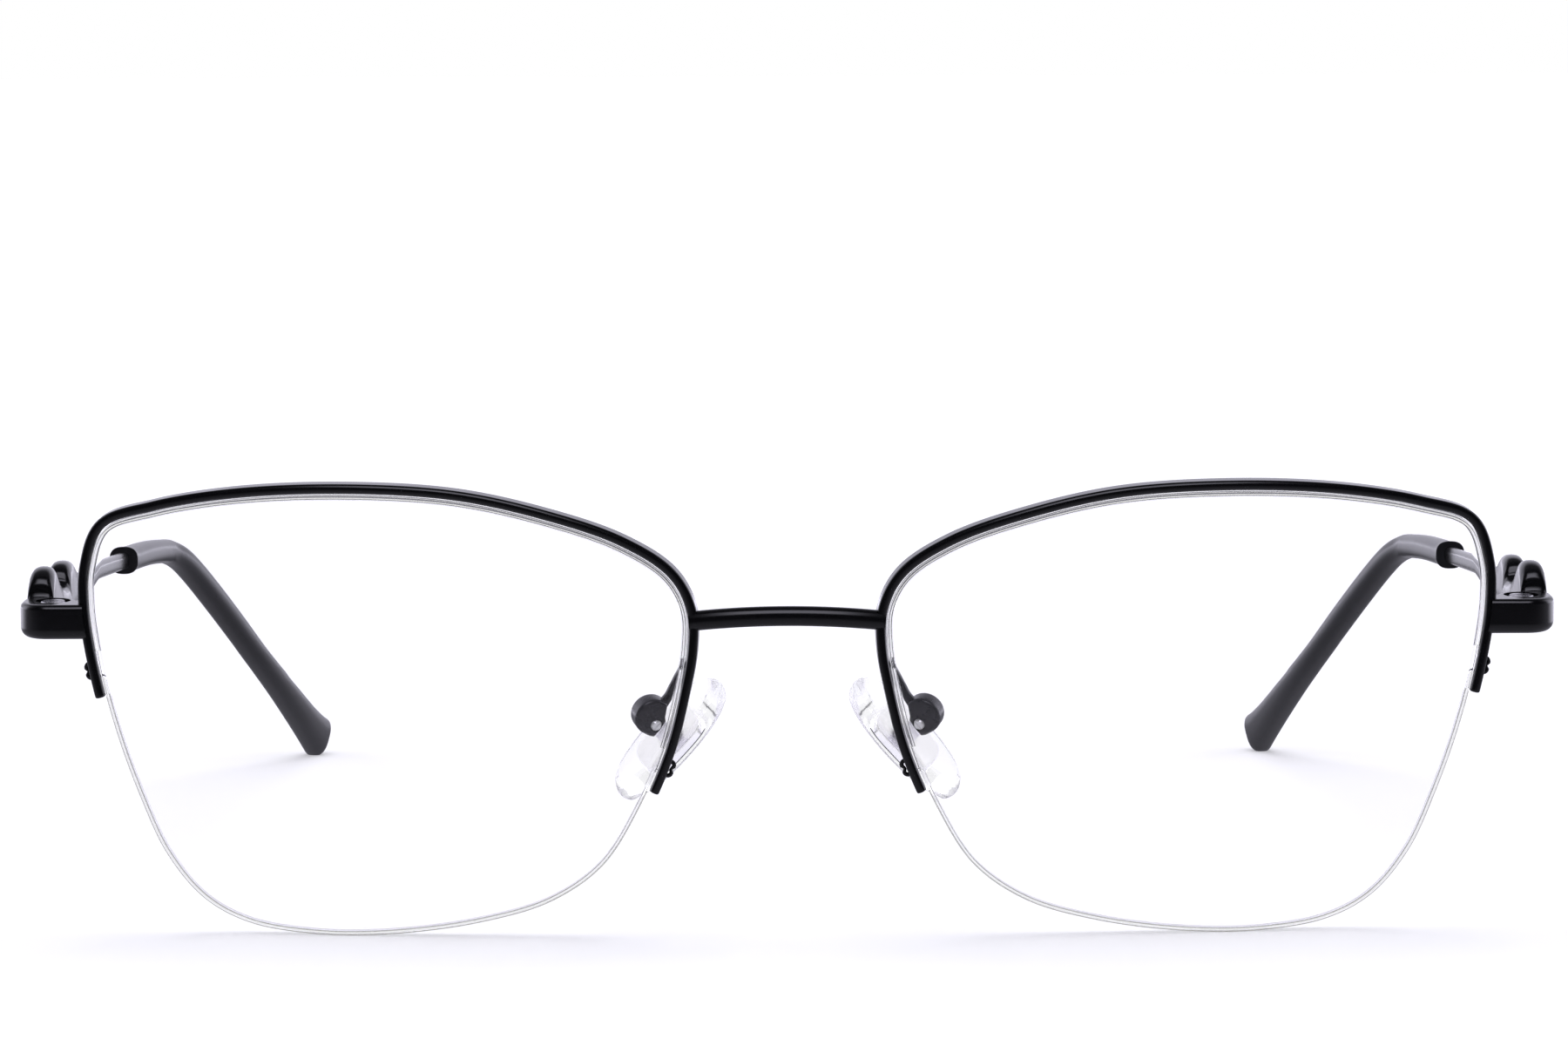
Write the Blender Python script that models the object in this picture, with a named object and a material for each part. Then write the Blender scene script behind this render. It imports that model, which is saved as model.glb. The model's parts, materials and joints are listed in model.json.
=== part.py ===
"""Semi-rimless spectacles: upper eyewires, clear lenses held below by nylon cord, folding temples.

Metres, +Z up, the wearer looks along -Y. "left" and "right" are the wearer's, so left is at +X.
The spectacles stand as on a table: on the two lens bottoms and the two temple tips.
The origin is the centre of the base of the box round the whole object.
"""

import math

import bmesh
import bpy
from mathutils import Matrix, Vector


# Lenses and the way the front stands
lens_width = 0.0539
lens_height = 0.0404
lens_thickness = 0.0018
lens_curve_radius = 0.1060
lens_gap_at_nose = 0.01865
lens_edge_chamfer = 0.00015
lens_dome_shares = (0.35, 0.70)
lens_groove_depth = 0.00050
lens_groove_width = 0.00056
front_lean = math.radians(6.0)
face_form = math.radians(4.0)

# Outline of the lens, clockwise from its nasal side as seen from the front.
# Each pair is a share of half the lens width and a share of half its height.
lens_outline_shares = (
    (-0.926, -0.144),
    (-0.972, 0.094),
    (-1.000, 0.312),
    (-0.996, 0.478),
    (-0.938, 0.624),
    (-0.783, 0.765),
    (-0.527, 0.889),
    (-0.230, 0.976),
    (0.141, 1.000),
    (0.497, 0.970),
    (0.776, 0.899),
    (0.946, 0.814),
    (0.996, 0.644),
    (1.000, 0.470),
    (0.970, 0.210),
    (0.915, -0.079),
    (0.839, -0.376),
    (0.750, -0.649),
    (0.627, -0.851),
    (0.479, -0.955),
    (0.252, -1.000),
    (-0.007, -0.993),
    (-0.315, -0.933),
    (-0.549, -0.837),
    (-0.720, -0.673),
    (-0.842, -0.411),
)

# Upper eyewire: a grooved strip along the top of the lens edge
rim_thickness = 0.00097
rim_depth = 0.00190
rim_lens_gap = 0.00012
rim_groove_width = 0.00070
rim_groove_depth = 0.00043
rim_end_round = 0.00025
rim_nasal_end_drop = 0.0067
rim_outer_end_rise = 0.00135

# Section of the eyewire round its groove: share of its thickness, outward from the lens, and
# share of half its depth
rim_section_shares = (
    (0.00, -0.60),
    (0.25, -0.93),
    (0.58, -0.98),
    (0.88, -0.66),
    (1.00, -0.22),
    (1.00, 0.22),
    (0.88, 0.66),
    (0.58, 0.98),
    (0.25, 0.93),
    (0.00, 0.60),
)
rim_end_size_share = 0.74

# Nylon: liner in the eyewire's groove and cord under the lens
liner_width = 0.00046
liner_seat_gap = 0.00006
liner_end_gap = 0.00080
cord_diameter = 0.00040
cord_hole_gap = 0.00005
cord_hole_inset = 0.00180
cord_hole_pitch = 0.00130
cord_bend_radius = 0.00034
cord_bend_corner_share = 0.30

# Bridge
bridge_height = 0.00180
bridge_depth = 0.00150
bridge_arch = 0.00043
bridge_bow = 0.0011
bridge_rise_on_rim = 0.00860

# Gap left between brazed pieces
braze_gap = 0.00012

# End piece, which is also the fork of the hinge
end_piece_height = 0.00320
end_piece_front_proud = 0.0005
end_piece_outer_reach = 0.0029
end_piece_front_reach = 0.0030
end_piece_rear_reach = 0.0022
end_piece_front_round = 0.0018
end_piece_edge_round = 0.00040
end_piece_rise_on_rim = 0.00840
hinge_axis_lean = math.radians(3.0)
hinge_slot_height = 0.00120
hinge_hole_diameter = 0.00150
hinge_screw_sink_diameter = 0.00315
hinge_screw_sink_depth = 0.00055
hinge_outset_from_rim = 0.0025

# Hinge screw
hinge_screw_diameter = 0.00140
hinge_screw_head_diameter = 0.00225
hinge_screw_head_height = 0.00047
hinge_screw_slot_width = 0.00045
hinge_screw_slot_depth = 0.00022
hinge_screw_seat_gap = 0.00005

# Hinge tongue on the temple
tongue_thickness = 0.00100
tongue_eye_radius = 0.00175
tongue_inner_reach = 0.00030
tongue_length = 0.0060
tongue_swing_gap = 0.00015

# Power of the squared ovals that wires and the tip have as their section
oval_power = 2.6

# Temple: route, trim, arm and tip
temple_run = 0.1270
temple_inward = 0.01475
temple_outset_from_hinge = 0.00155
temple_trim_width = 0.00264
temple_front_gap = 0.00015
trim_length = 0.0260
trim_hump_height = 0.00415
trim_lower_height = 0.0016
trim_bore_gap = 0.00006
trim_bore_depth = 0.0060
arm_width = 0.00120
arm_height = 0.00170
arm_end_gap = 0.0005
tip_start_run = 0.0622
tip_width = 0.00262
tip_height = 0.00250
tip_end_width = 0.00292
tip_end_height = 0.00530
tip_end_lift = 0.00066
tip_end_round = 0.00130
tip_mouth_round = 0.00014
tip_mouth_size_share = 0.95
tip_mouth_flare = 0.12
tip_flare_length = 0.0030
tip_bore_gap = 0.00008
tip_bore_end_margin = 0.0090
tip_foot_depth = 0.00012

# Route of the temple behind its hinge, as shares of its run, its inward bend and its drop
temple_route_shares = (
    (0.000, 0.000, 0.000),
    (0.085, 0.000, -0.005),
    (0.190, 0.002, -0.009),
    (0.310, 0.012, -0.009),
    (0.453, 0.041, 0.016),
    (0.609, 0.085, 0.047),
    (0.690, 0.115, 0.075),
    (0.712, 0.132, 0.086),
    (0.742, 0.215, 0.135),
    (0.898, 0.693, 0.640),
    (1.000, 1.000, 1.000),
)

# Temple trim: share of its length, then shares of hump height, of lower height and of width at
# the waist and at the crest
trim_section_shares = (
    (0.000, 0.35, 1.00, 0.98, 0.90),
    (0.016, 0.42, 1.00, 1.00, 0.78),
    (0.022, 0.60, 1.00, 1.00, 0.68),
    (0.034, 0.77, 1.00, 1.00, 0.65),
    (0.060, 0.91, 1.00, 1.00, 0.62),
    (0.090, 0.98, 1.00, 1.00, 0.62),
    (0.125, 1.00, 0.99, 1.00, 0.62),
    (0.170, 0.95, 0.98, 1.00, 0.62),
    (0.245, 0.73, 0.95, 1.00, 0.60),
    (0.330, 0.46, 0.93, 0.98, 0.64),
    (0.410, 0.35, 0.90, 0.97, 0.70),
    (0.485, 0.34, 0.87, 0.96, 0.74),
    (0.502, 0.42, 0.87, 0.96, 0.69),
    (0.514, 0.59, 0.86, 0.96, 0.66),
    (0.533, 0.70, 0.86, 0.96, 0.64),
    (0.558, 0.76, 0.85, 0.96, 0.62),
    (0.590, 0.785, 0.84, 0.96, 0.62),
    (0.640, 0.77, 0.82, 0.95, 0.62),
    (0.720, 0.68, 0.78, 0.92, 0.60),
    (0.830, 0.47, 0.70, 0.82, 0.58),
    (0.930, 0.32, 0.64, 0.72, 0.60),
    (1.000, 0.28, 0.60, 0.66, 0.60),
)

# Across a section of the trim: how far its flanks run down and up, and how wide its top and its
# underside are, each as a share of what the table above gives
trim_flank_low_share = 0.35
trim_flank_top_share = 0.90
trim_crest_low_share = 0.86
trim_crest_flat_share = 0.55
trim_under_flat_share = 0.70

# Share of the tip's length and share of the swelling reached there
tip_swell_shares = (
    (0.00, 0.00),
    (0.45, 0.01),
    (0.75, 0.07),
    (0.90, 0.365),
    (0.96, 0.64),
    (1.00, 1.00),
)

# Rounding of the tip's rear end: share of the rounding's length and share of the full size
tip_end_shares = (
    (0.40, 0.93),
    (0.76, 0.72),
    (1.00, 0.38),
)

# Nose pads
pad_axis_outset = 0.00303
pad_axis_back = 0.0129
pad_axis_drop = 0.00150
pad_lean = math.radians(43.0)
pad_splay = math.radians(64.0)
pad_length = 0.0137
pad_width = 0.0074
pad_thickness = 0.0030
pad_axis_to_core = 0.00255
pad_centre_drop = 0.00018
pad_taper_share = 0.02
pad_squareness = 0.80
pad_core_length = 0.0068
pad_core_width = 0.0054
pad_core_thickness = 0.00060
pad_core_shift = 0.00030
pad_core_power = 3.6
pad_core_gap = 0.00010

# Rings of the pad from its back to its face: share of its size and share of half its thickness
pad_profile_shares = (
    (0.550, -0.86),
    (0.860, -0.70),
    (0.985, -0.25),
    (1.000, 0.12),
    (0.930, 0.55),
    (0.620, 0.90),
)
pad_back_share = 0.90

# Pad box, its lug and its screw
pad_box_radius = 0.00174
pad_box_depth = 0.0018
pad_box_reach = 0.00070
pad_box_shoulder = 0.00030
pad_box_shoulder_half_height = 0.00115
pad_box_centre_back = 0.00075
pad_box_centre_rise = 0.0004
pad_box_neck_degrees = 78
pad_lug_thickness = 0.00070
pad_lug_radius = 0.00085
pad_lug_gap = 0.00010
pad_screw_diameter = 0.00070
pad_screw_gap = 0.00005
pad_screw_head_diameter = 0.00105
pad_screw_head_height = 0.00025
pad_screw_slot_width = 0.00020
pad_screw_slot_depth = 0.00010

# Pad arm: wire brazed to the back of the eyewire
pad_arm_diameter = 0.00110
pad_arm_foot_rise = 0.0046
pad_arm_entry_back = 0.0006
pad_arm_entry_rise = 0.0027
pad_arm_inside_share = 0.70

# Route of the pad arm from its foot to the point above the box: shares of the way outward, back
# and down
pad_arm_route_shares = (
    (0.00, 0.00, 0.00),
    (0.02, 0.28, 0.05),
    (0.12, 0.60, 0.17),
    (0.40, 0.90, 0.44),
    (0.76, 0.99, 0.75),
    (1.00, 1.00, 1.00),
)

# How far a cutter runs past the face it cuts
cut_overrun = 0.0010

# Counts that set how finely curves are drawn
rim_segments = 36
cord_segments = 24
spline_steps = 16
round_sides = 16
wire_sides = 8
cord_sides = 6
pad_sides = 24
temple_segments = 26
tip_sides = 12
bridge_half_steps = 8
bore_steps = 6
standing_rounds = 4
turn_weight_share = 0.30
sharp_angle = math.radians(35)
bevel_angle = math.radians(60)


half_lens_width = lens_width / 2
half_lens_height = lens_height / 2
rim_outer_offset = rim_lens_gap + rim_thickness
rim_front_offset = (lens_thickness - rim_depth) / 2
rim_back_offset = rim_front_offset + rim_depth
groove_centre = lens_thickness / 2


# Basic mesh helpers

def new_object(name, vertices, faces):
    """One mesh object whose faces all point out of the closed shape."""
    mesh = bpy.data.meshes.new(name)
    mesh.from_pydata([tuple(vertex) for vertex in vertices], [], faces)
    shell = bmesh.new()
    shell.from_mesh(mesh)
    bmesh.ops.recalc_face_normals(shell, faces=shell.faces)
    shell.to_mesh(mesh)
    shell.free()
    made = bpy.data.objects.new(name, mesh)
    bpy.context.scene.collection.objects.link(made)
    return made


def skin_rings(name, rings, closed=False):
    """Joins equal rings of points into a tube, capped at both ends unless it closes on itself."""
    count = len(rings[0])
    vertices = [point for ring in rings for point in ring]
    faces = []
    last = len(rings) if closed else len(rings) - 1
    for index in range(last):
        here = index * count
        there = ((index + 1) % len(rings)) * count
        for side in range(count):
            next_side = (side + 1) % count
            faces.append((here + side, here + next_side, there + next_side, there + side))
    if not closed:
        faces.append(tuple(range(count)))
        faces.append(tuple((len(rings) - 1) * count + side for side in range(count)))
    return new_object(name, vertices, faces)


def skin_domed(name, rings, first_pole, last_pole):
    """Joins rings into a shell whose two ends close on single points."""
    count = len(rings[0])
    vertices = [point for ring in rings for point in ring]
    first_index = len(vertices)
    vertices.append(first_pole)
    vertices.append(last_pole)
    faces = []
    for index in range(len(rings) - 1):
        for side in range(count):
            next_side = (side + 1) % count
            faces.append((index * count + side, index * count + next_side,
                          (index + 1) * count + next_side, (index + 1) * count + side))
    last_ring = (len(rings) - 1) * count
    for side in range(count):
        next_side = (side + 1) % count
        faces.append((side, next_side, first_index))
        faces.append((last_ring + side, last_ring + next_side, first_index + 1))
    return new_object(name, vertices, faces)


def prism(name, outline, bottom, top, place):
    """An outline in the XY plane, raised from bottom to top and put in place."""
    rings = [[place @ Vector((x, y, level)) for x, y in outline] for level in (bottom, top)]
    return skin_rings(name, rings)


def ellipse(width, height, sides, power=2.0):
    """Points of an oval; a power above two squares it up."""
    points = []
    for side in range(sides):
        angle = 2 * math.pi * (side + 0.5) / sides
        cosine = math.cos(angle)
        sine = math.sin(angle)
        points.append((math.copysign(abs(cosine) ** (2 / power), cosine) * width / 2,
                       math.copysign(abs(sine) ** (2 / power), sine) * height / 2))
    return points


def rectangle(left, right, front, back):
    return [(left, front), (right, front), (right, back), (left, back)]


def arc(centre_x, centre_y, radius, start, end, steps):
    """Points of an arc, both ends included; angles in degrees from +X towards +Y."""
    points = []
    for step in range(steps + 1):
        angle = math.radians(start + (end - start) * step / steps)
        points.append((centre_x + radius * math.cos(angle), centre_y + radius * math.sin(angle)))
    return points


def centripetal_spline(points, steps, closed):
    """Smooth curve through the points, in vectors."""
    count = len(points)
    spans = count if closed else count - 1
    curve = []
    for span in range(spans):
        if closed:
            p0, p1, p2, p3 = (points[(span + shift) % count] for shift in (-1, 0, 1, 2))
        else:
            p1 = points[span]
            p2 = points[span + 1]
            p0 = points[span - 1] if span > 0 else p1 * 2 - p2
            p3 = points[span + 2] if span + 2 < count else p2 * 2 - p1
        knots = [0.0]
        for first, second in ((p0, p1), (p1, p2), (p2, p3)):
            knots.append(knots[-1] + math.sqrt((second - first).length))
        for step in range(steps):
            here = knots[1] + (knots[2] - knots[1]) * step / steps
            curve.append(spline_point((p0, p1, p2, p3), knots, here))
    if not closed:
        curve.append(points[-1].copy())
    return curve


def spline_point(points, knots, here):
    """One point of a centripetal spline by repeated blending."""
    level = list(points)
    for width in (1, 2):
        blended = []
        for index in range(len(level) - 1):
            low = knots[index]
            high = knots[index + width]
            share = (here - low) / (high - low)
            blended.append(level[index].lerp(level[index + 1], share))
        level = blended
    share = (here - knots[1]) / (knots[2] - knots[1])
    return level[0].lerp(level[1], share)


def carve(body, cutter, operation='DIFFERENCE'):
    """Applies an exact Boolean of the cutter to the body and removes the cutter."""
    step = body.modifiers.new('carve', 'BOOLEAN')
    step.operation = operation
    step.solver = 'EXACT'
    step.object = cutter
    bpy.context.view_layer.update()
    graph = bpy.context.evaluated_depsgraph_get()
    mesh = bpy.data.meshes.new_from_object(body.evaluated_get(graph))
    body.modifiers.clear()
    body.data = mesh
    bpy.data.objects.remove(cutter)
    return body


# Frames of reference, all for the +X half; the other half is its mirror image

def local_frame(origin, x_axis, y_axis, z_axis):
    frame = Matrix((x_axis, y_axis, z_axis)).transposed().to_4x4()
    frame.translation = origin
    return frame


def lens_turn():
    """Turn from the lens's own axes (across, back, up) to the standing front."""
    lean = Matrix.Rotation(front_lean, 4, 'X')
    wrap = Matrix.Rotation(face_form, 4, 'Z')
    return lean @ wrap


def sphere_sag(across, up):
    """How far the lens surface lies behind its foremost point."""
    flat = across * across + up * up
    return lens_curve_radius - math.sqrt(lens_curve_radius ** 2 - flat)


class Outline:
    """The closed outline of the lens edge, with lengths measured along it."""

    def __init__(self):
        corners = [Vector((u * half_lens_width, v * half_lens_height))
                   for u, v in lens_outline_shares]
        self.points = centripetal_spline(corners, spline_steps, True)
        self.count = len(self.points)
        self.length_at = [0.0]
        for index in range(self.count):
            step = self.points[(index + 1) % self.count] - self.points[index]
            self.length_at.append(self.length_at[-1] + step.length)
        self.total = self.length_at[-1]

    def at(self, length):
        """Point and outward normal at a length along the outline."""
        length = length % self.total
        low = 0
        high = self.count
        while high - low > 1:
            middle = (low + high) // 2
            if self.length_at[middle] <= length:
                low = middle
            else:
                high = middle
        share = (length - self.length_at[low]) / (self.length_at[low + 1] - self.length_at[low])
        here = self.points[low]
        there = self.points[(low + 1) % self.count]
        normal = self.normal(low).lerp(self.normal((low + 1) % self.count), share).normalized()
        return here.lerp(there, share), normal

    def normal(self, index):
        before = self.points[(index - 1) % self.count]
        after = self.points[(index + 1) % self.count]
        along = (after - before).normalized()
        return Vector((-along.y, along.x))

    def length_where(self, height, rising):
        """Length at which the outline crosses a height on its nasal (rising) or outer side."""
        for index in range(self.count):
            low = self.points[index].y
            high = self.points[(index + 1) % self.count].y
            crosses = low <= height < high if rising else low >= height > high
            if crosses:
                share = (height - low) / (high - low)
                return self.length_at[index] + share * (self.length_at[index + 1]
                                                        - self.length_at[index])
        return 0.0

    def spread(self, start, end, segments):
        """Lengths from start to end, closer together where the outline turns."""
        samples = segments * spline_steps
        lengths = [start + (end - start) * step / samples for step in range(samples + 1)]
        weight = [0.0]
        turn_length = turn_weight_share * half_lens_width
        for before, after in zip(lengths, lengths[1:]):
            turn = self.at(before)[1].angle(self.at(after)[1], 0.0)
            weight.append(weight[-1] + (after - before) + turn_length * turn)
        spots = []
        index = 0
        for step in range(segments + 1):
            goal = weight[-1] * step / segments
            while index < samples - 1 and weight[index + 1] < goal:
                index += 1
            share = (goal - weight[index]) / (weight[index + 1] - weight[index])
            spots.append(lengths[index] + share * (lengths[index + 1] - lengths[index]))
        return spots


outline = Outline()
rim_start = outline.length_where(-rim_nasal_end_drop, True)
if rim_start > outline.total / 2:
    rim_start -= outline.total
rim_end = outline.length_where(rim_outer_end_rise, False)
liner_inset = cord_hole_inset + cord_hole_pitch + cord_diameter / 2 + liner_end_gap
rim_spots = ([rim_start]
             + outline.spread(rim_start + liner_inset, rim_end - liner_inset, rim_segments)
             + [rim_end])
cord_spots = outline.spread(rim_end, rim_start + outline.total, cord_segments)


def edge_point(length, outward, back):
    """Point in the lens's own axes: outward from the edge, and back from the front surface."""
    spot, normal = outline.at(length)
    sag = sphere_sag(spot.x, spot.y)
    return Vector((spot.x + outward * normal.x, sag + back, spot.y + outward * normal.y))


def lens_centre():
    """Centre of the lens: its lowest front edge point touches the table."""
    turn = lens_turn()
    lowest = min((turn @ edge_point(length, 0.0, lens_edge_chamfer)).z for length in cord_spots)
    across = (lens_gap_at_nose + lens_width * math.cos(face_form)) / 2
    return Vector((across, 0.0, -lowest))


lens_place = Matrix.Translation(lens_centre()) @ lens_turn()


def on_front(length, outward, back):
    return lens_place @ edge_point(length, outward, back)


def nasal_length(rise):
    """Length along the outline at a height above the lens centre, on the nasal side."""
    length = outline.length_where(rise, True)
    return length - outline.total if length > outline.total / 2 else length


def outer_length(rise):
    return outline.length_where(rise, False)


def hinge_frame():
    """Axes at the hinge: x outward, y back, z up along the screw."""
    flank = on_front(outer_length(end_piece_rise_on_rim), rim_outer_offset,
                     rim_front_offset - end_piece_front_proud)
    origin = flank + Vector((hinge_outset_from_rim, end_piece_front_reach, 0.0))
    return Matrix.Translation(origin) @ Matrix.Rotation(hinge_axis_lean, 4, 'X')


hinge_place = hinge_frame()
hinge_point = hinge_place.translation


def pad_frame():
    """Axes at the pad screw: x across the pad along the screw, y towards the nose, z up the pad."""
    origin = Vector((lens_gap_at_nose / 2 + pad_axis_outset, pad_axis_back,
                     lens_place.translation.z - pad_axis_drop))
    up_pad = Vector((-math.sin(pad_lean), 0.0, math.cos(pad_lean)))
    across = Vector((math.cos(pad_lean), 0.0, math.sin(pad_lean)))
    back = Vector((0.0, 1.0, 0.0))
    along_screw = across * math.cos(pad_splay) + back * math.sin(pad_splay)
    to_nose = back * math.cos(pad_splay) - across * math.sin(pad_splay)
    return local_frame(origin, along_screw, to_nose, up_pad)


pad_place = pad_frame()


# Front

def make_lens():
    """Lens with a domed front, a hollow back and a grooved edge."""
    half_groove = lens_groove_width / 2
    back_chamfer = lens_thickness - lens_edge_chamfer
    profile = (
        (-lens_edge_chamfer, 0.0),
        (0.0, lens_edge_chamfer),
        (0.0, groove_centre - half_groove),
        (-lens_groove_depth, groove_centre - half_groove),
        (-lens_groove_depth, groove_centre + half_groove),
        (0.0, groove_centre + half_groove),
        (0.0, back_chamfer),
        (-lens_edge_chamfer, lens_thickness),
    )
    spots = rim_spots[:-1] + cord_spots[:-1]
    rings = []
    for share in lens_dome_shares:
        rings.append([surface_point(length, share, 0.0) for length in spots])
    for outward, back in profile:
        rings.append([on_front(length, outward, back) for length in spots])
    for share in reversed(lens_dome_shares):
        rings.append([surface_point(length, share, lens_thickness) for length in spots])
    front_pole = lens_place @ Vector((0.0, 0.0, 0.0))
    back_pole = lens_place @ Vector((0.0, lens_thickness, 0.0))
    return skin_domed('lens', rings, front_pole, back_pole)


def surface_point(length, share, back):
    spot = outline.at(length)[0] * share
    return lens_place @ Vector((spot.x, sphere_sag(spot.x, spot.y) + back, spot.y))


def rim_section(size=1.0):
    """Outline of the eyewire's section: outward from the lens edge, and back from its front."""
    half_groove = rim_groove_width / 2
    half_depth = rim_depth / 2
    floor = rim_lens_gap + rim_groove_depth
    points = [(rim_lens_gap + outward * rim_thickness, groove_centre + back * half_depth)
              for outward, back in rim_section_shares]
    points += [
        (rim_lens_gap, groove_centre + half_groove),
        (floor, groove_centre + half_groove),
        (floor, groove_centre - half_groove),
        (rim_lens_gap, groove_centre - half_groove),
    ]
    middle = rim_lens_gap + rim_thickness / 2
    return [(middle + (outward - middle) * size, groove_centre + (back - groove_centre) * size)
            for outward, back in points]


def make_rim():
    """Upper eyewire: an oval strip with a groove towards the lens and rounded ends."""
    stops = [(rim_spots[0], rim_end_size_share), (rim_spots[0] + rim_end_round, 1.0)]
    stops += [(length, 1.0) for length in rim_spots[1:-1]]
    stops += [(rim_spots[-1] - rim_end_round, 1.0), (rim_spots[-1], rim_end_size_share)]
    rings = [[on_front(length, outward, back) for outward, back in rim_section(size)]
             for length, size in stops]
    rim = skin_rings('rim', rings)
    for length in cord_hole_lengths():
        carve(rim, cord_hole(length))
    return rim


def cord_hole_lengths():
    """Places of the four cord holes, two at each end of the eyewire."""
    near = cord_hole_inset
    far = cord_hole_inset + cord_hole_pitch
    return (rim_start + near, rim_start + far, rim_end - near, rim_end - far)


def cord_hole(length):
    """Cutter through the web of the eyewire, along the outward normal."""
    hole_diameter = cord_diameter + 2 * cord_hole_gap
    low = rim_lens_gap + rim_groove_depth / 2
    high = rim_outer_offset + cut_overrun
    spot, normal = outline.at(length)
    middle = edge_point(length, 0.0, groove_centre)
    outward = Vector((normal.x, 0.0, normal.y))
    along = Vector((normal.y, 0.0, -normal.x))
    back = Vector((0.0, 1.0, 0.0))
    place = lens_place @ local_frame(middle, along, back, outward)
    return prism('cutter', ellipse(hole_diameter, hole_diameter, wire_sides), low, high, place)


def make_rim_liner():
    """Clear nylon strip, half in the eyewire's groove and half in the lens's."""
    half_width = liner_width / 2
    inner = liner_seat_gap - lens_groove_depth
    outer = rim_lens_gap + rim_groove_depth - liner_seat_gap
    section = (
        (inner, groove_centre - half_width),
        (outer, groove_centre - half_width),
        (outer, groove_centre + half_width),
        (inner, groove_centre + half_width),
    )
    rings = [[on_front(length, outward, back) for outward, back in section]
             for length in rim_spots[1:-1]]
    return skin_rings('rim_liner', rings)


def cord_end_places():
    """Cord at a rim end: pairs of the length past the end of the eyewire and the outward offset."""
    rest = (cord_diameter / 2 + liner_seat_gap) - lens_groove_depth
    over = rim_outer_offset + cord_diameter / 2 + cord_hole_gap
    bend = cord_bend_radius
    near = cord_hole_inset
    far = cord_hole_inset + cord_hole_pitch
    under = rim_lens_gap + cord_hole_gap
    corner = bend * cord_bend_corner_share
    return (
        (near - bend, rest),
        (near - corner, rest + corner),
        (near, rest + bend),
        (near, over - bend),
        (near + corner, over - corner),
        (near + bend, over),
        (far - bend, over),
        (far - corner, over - corner),
        (far, over - bend),
        (far, under),
    )


def make_lens_cord():
    """Nylon cord: in the groove under the lens, out and back through the holes at both ends."""
    rest = (cord_diameter / 2 + liner_seat_gap) - lens_groove_depth
    stops = [(length, rest) for length in cord_spots]
    ends = cord_end_places()
    start_side = [(rim_end - past, outward) for past, outward in reversed(ends)]
    finish_side = [(rim_start + outline.total + past, outward) for past, outward in ends]
    stops = start_side + stops + finish_side
    centres = [edge_point(length, outward, groove_centre) for length, outward in stops]
    back = Vector((0.0, 1.0, 0.0))
    rings = []
    section = ellipse(cord_diameter, cord_diameter, cord_sides)
    for index, centre in enumerate(centres):
        before = centres[max(index - 1, 0)]
        after = centres[min(index + 1, len(centres) - 1)]
        along = (after - before).normalized()
        level = (back - along * back.dot(along)).normalized()
        outward = level.cross(along)
        rings.append([lens_place @ (centre + outward * x + level * y) for x, y in section])
    return skin_rings('lens_cord', rings)


def rim_seat(rise, nasal, behind=False):
    """Cutter that shapes a brazed piece to the eyewire's outer flank, or to its back, with a gap."""
    middle = nasal_length(rise) if nasal else outer_length(rise)
    reach = end_piece_height + rim_depth
    outer = reach if behind else rim_outer_offset + braze_gap
    rear = rim_back_offset + braze_gap if behind else reach + rim_depth
    section = ((-reach, -reach), (outer, -reach), (outer, rear), (-reach, rear))
    lengths = [length for length in rim_spots if abs(length - middle) < reach]
    lengths = [middle - reach] + lengths + [middle + reach]
    rings = [[on_front(length, outward, back) for outward, back in section]
             for length in lengths]
    return skin_rings('cutter', rings)


def make_bridge():
    """Arched bar between the two eyewires, shaped at both ends to their flanks."""
    spot = nasal_length(bridge_rise_on_rim)
    foot = on_front(spot, rim_outer_offset, groove_centre)
    half_span = on_front(spot, rim_outer_offset - rim_thickness / 2, groove_centre).x
    section = ellipse(bridge_depth, bridge_height, wire_sides + 2, oval_power)
    rings = []
    for step in range(-bridge_half_steps, bridge_half_steps + 1):
        share = step / bridge_half_steps
        centre = Vector((half_span * share, foot.y - bridge_bow * (1 - share ** 2),
                         foot.z + bridge_arch * (1 - share ** 2)))
        slope_back = 2 * bridge_bow * share / half_span
        slope_down = -2 * bridge_arch * share / half_span
        along = Vector((1.0, slope_back, slope_down)).normalized()
        level = Vector((-along.y, along.x, 0.0)).normalized()
        up = along.cross(level)
        rings.append([centre + level * x + up * y for x, y in section])
    bridge = skin_rings('bridge', rings)
    for side in (1, -1):
        seat = rim_seat(bridge_rise_on_rim, True)
        mirror_to_side(seat, side)
        carve(bridge, seat)
    return bridge


def end_piece_outline():
    """Top view of the end piece about the hinge axis: x outward, y back."""
    inner = -hinge_outset_from_rim - rim_thickness / 2
    front = -end_piece_front_reach
    rear = end_piece_rear_reach
    outer = end_piece_outer_reach
    corner = end_piece_front_round
    small = end_piece_edge_round
    points = [(inner, front)]
    points += arc(outer - corner, front + corner, corner, -90, 0, 5)
    points += arc(outer - small, rear - small, small, 0, 90, 2)
    points += arc(0.0, 0.0, rear, 90, 180, 5)
    points += [(inner, 0.0)]
    return points


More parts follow.
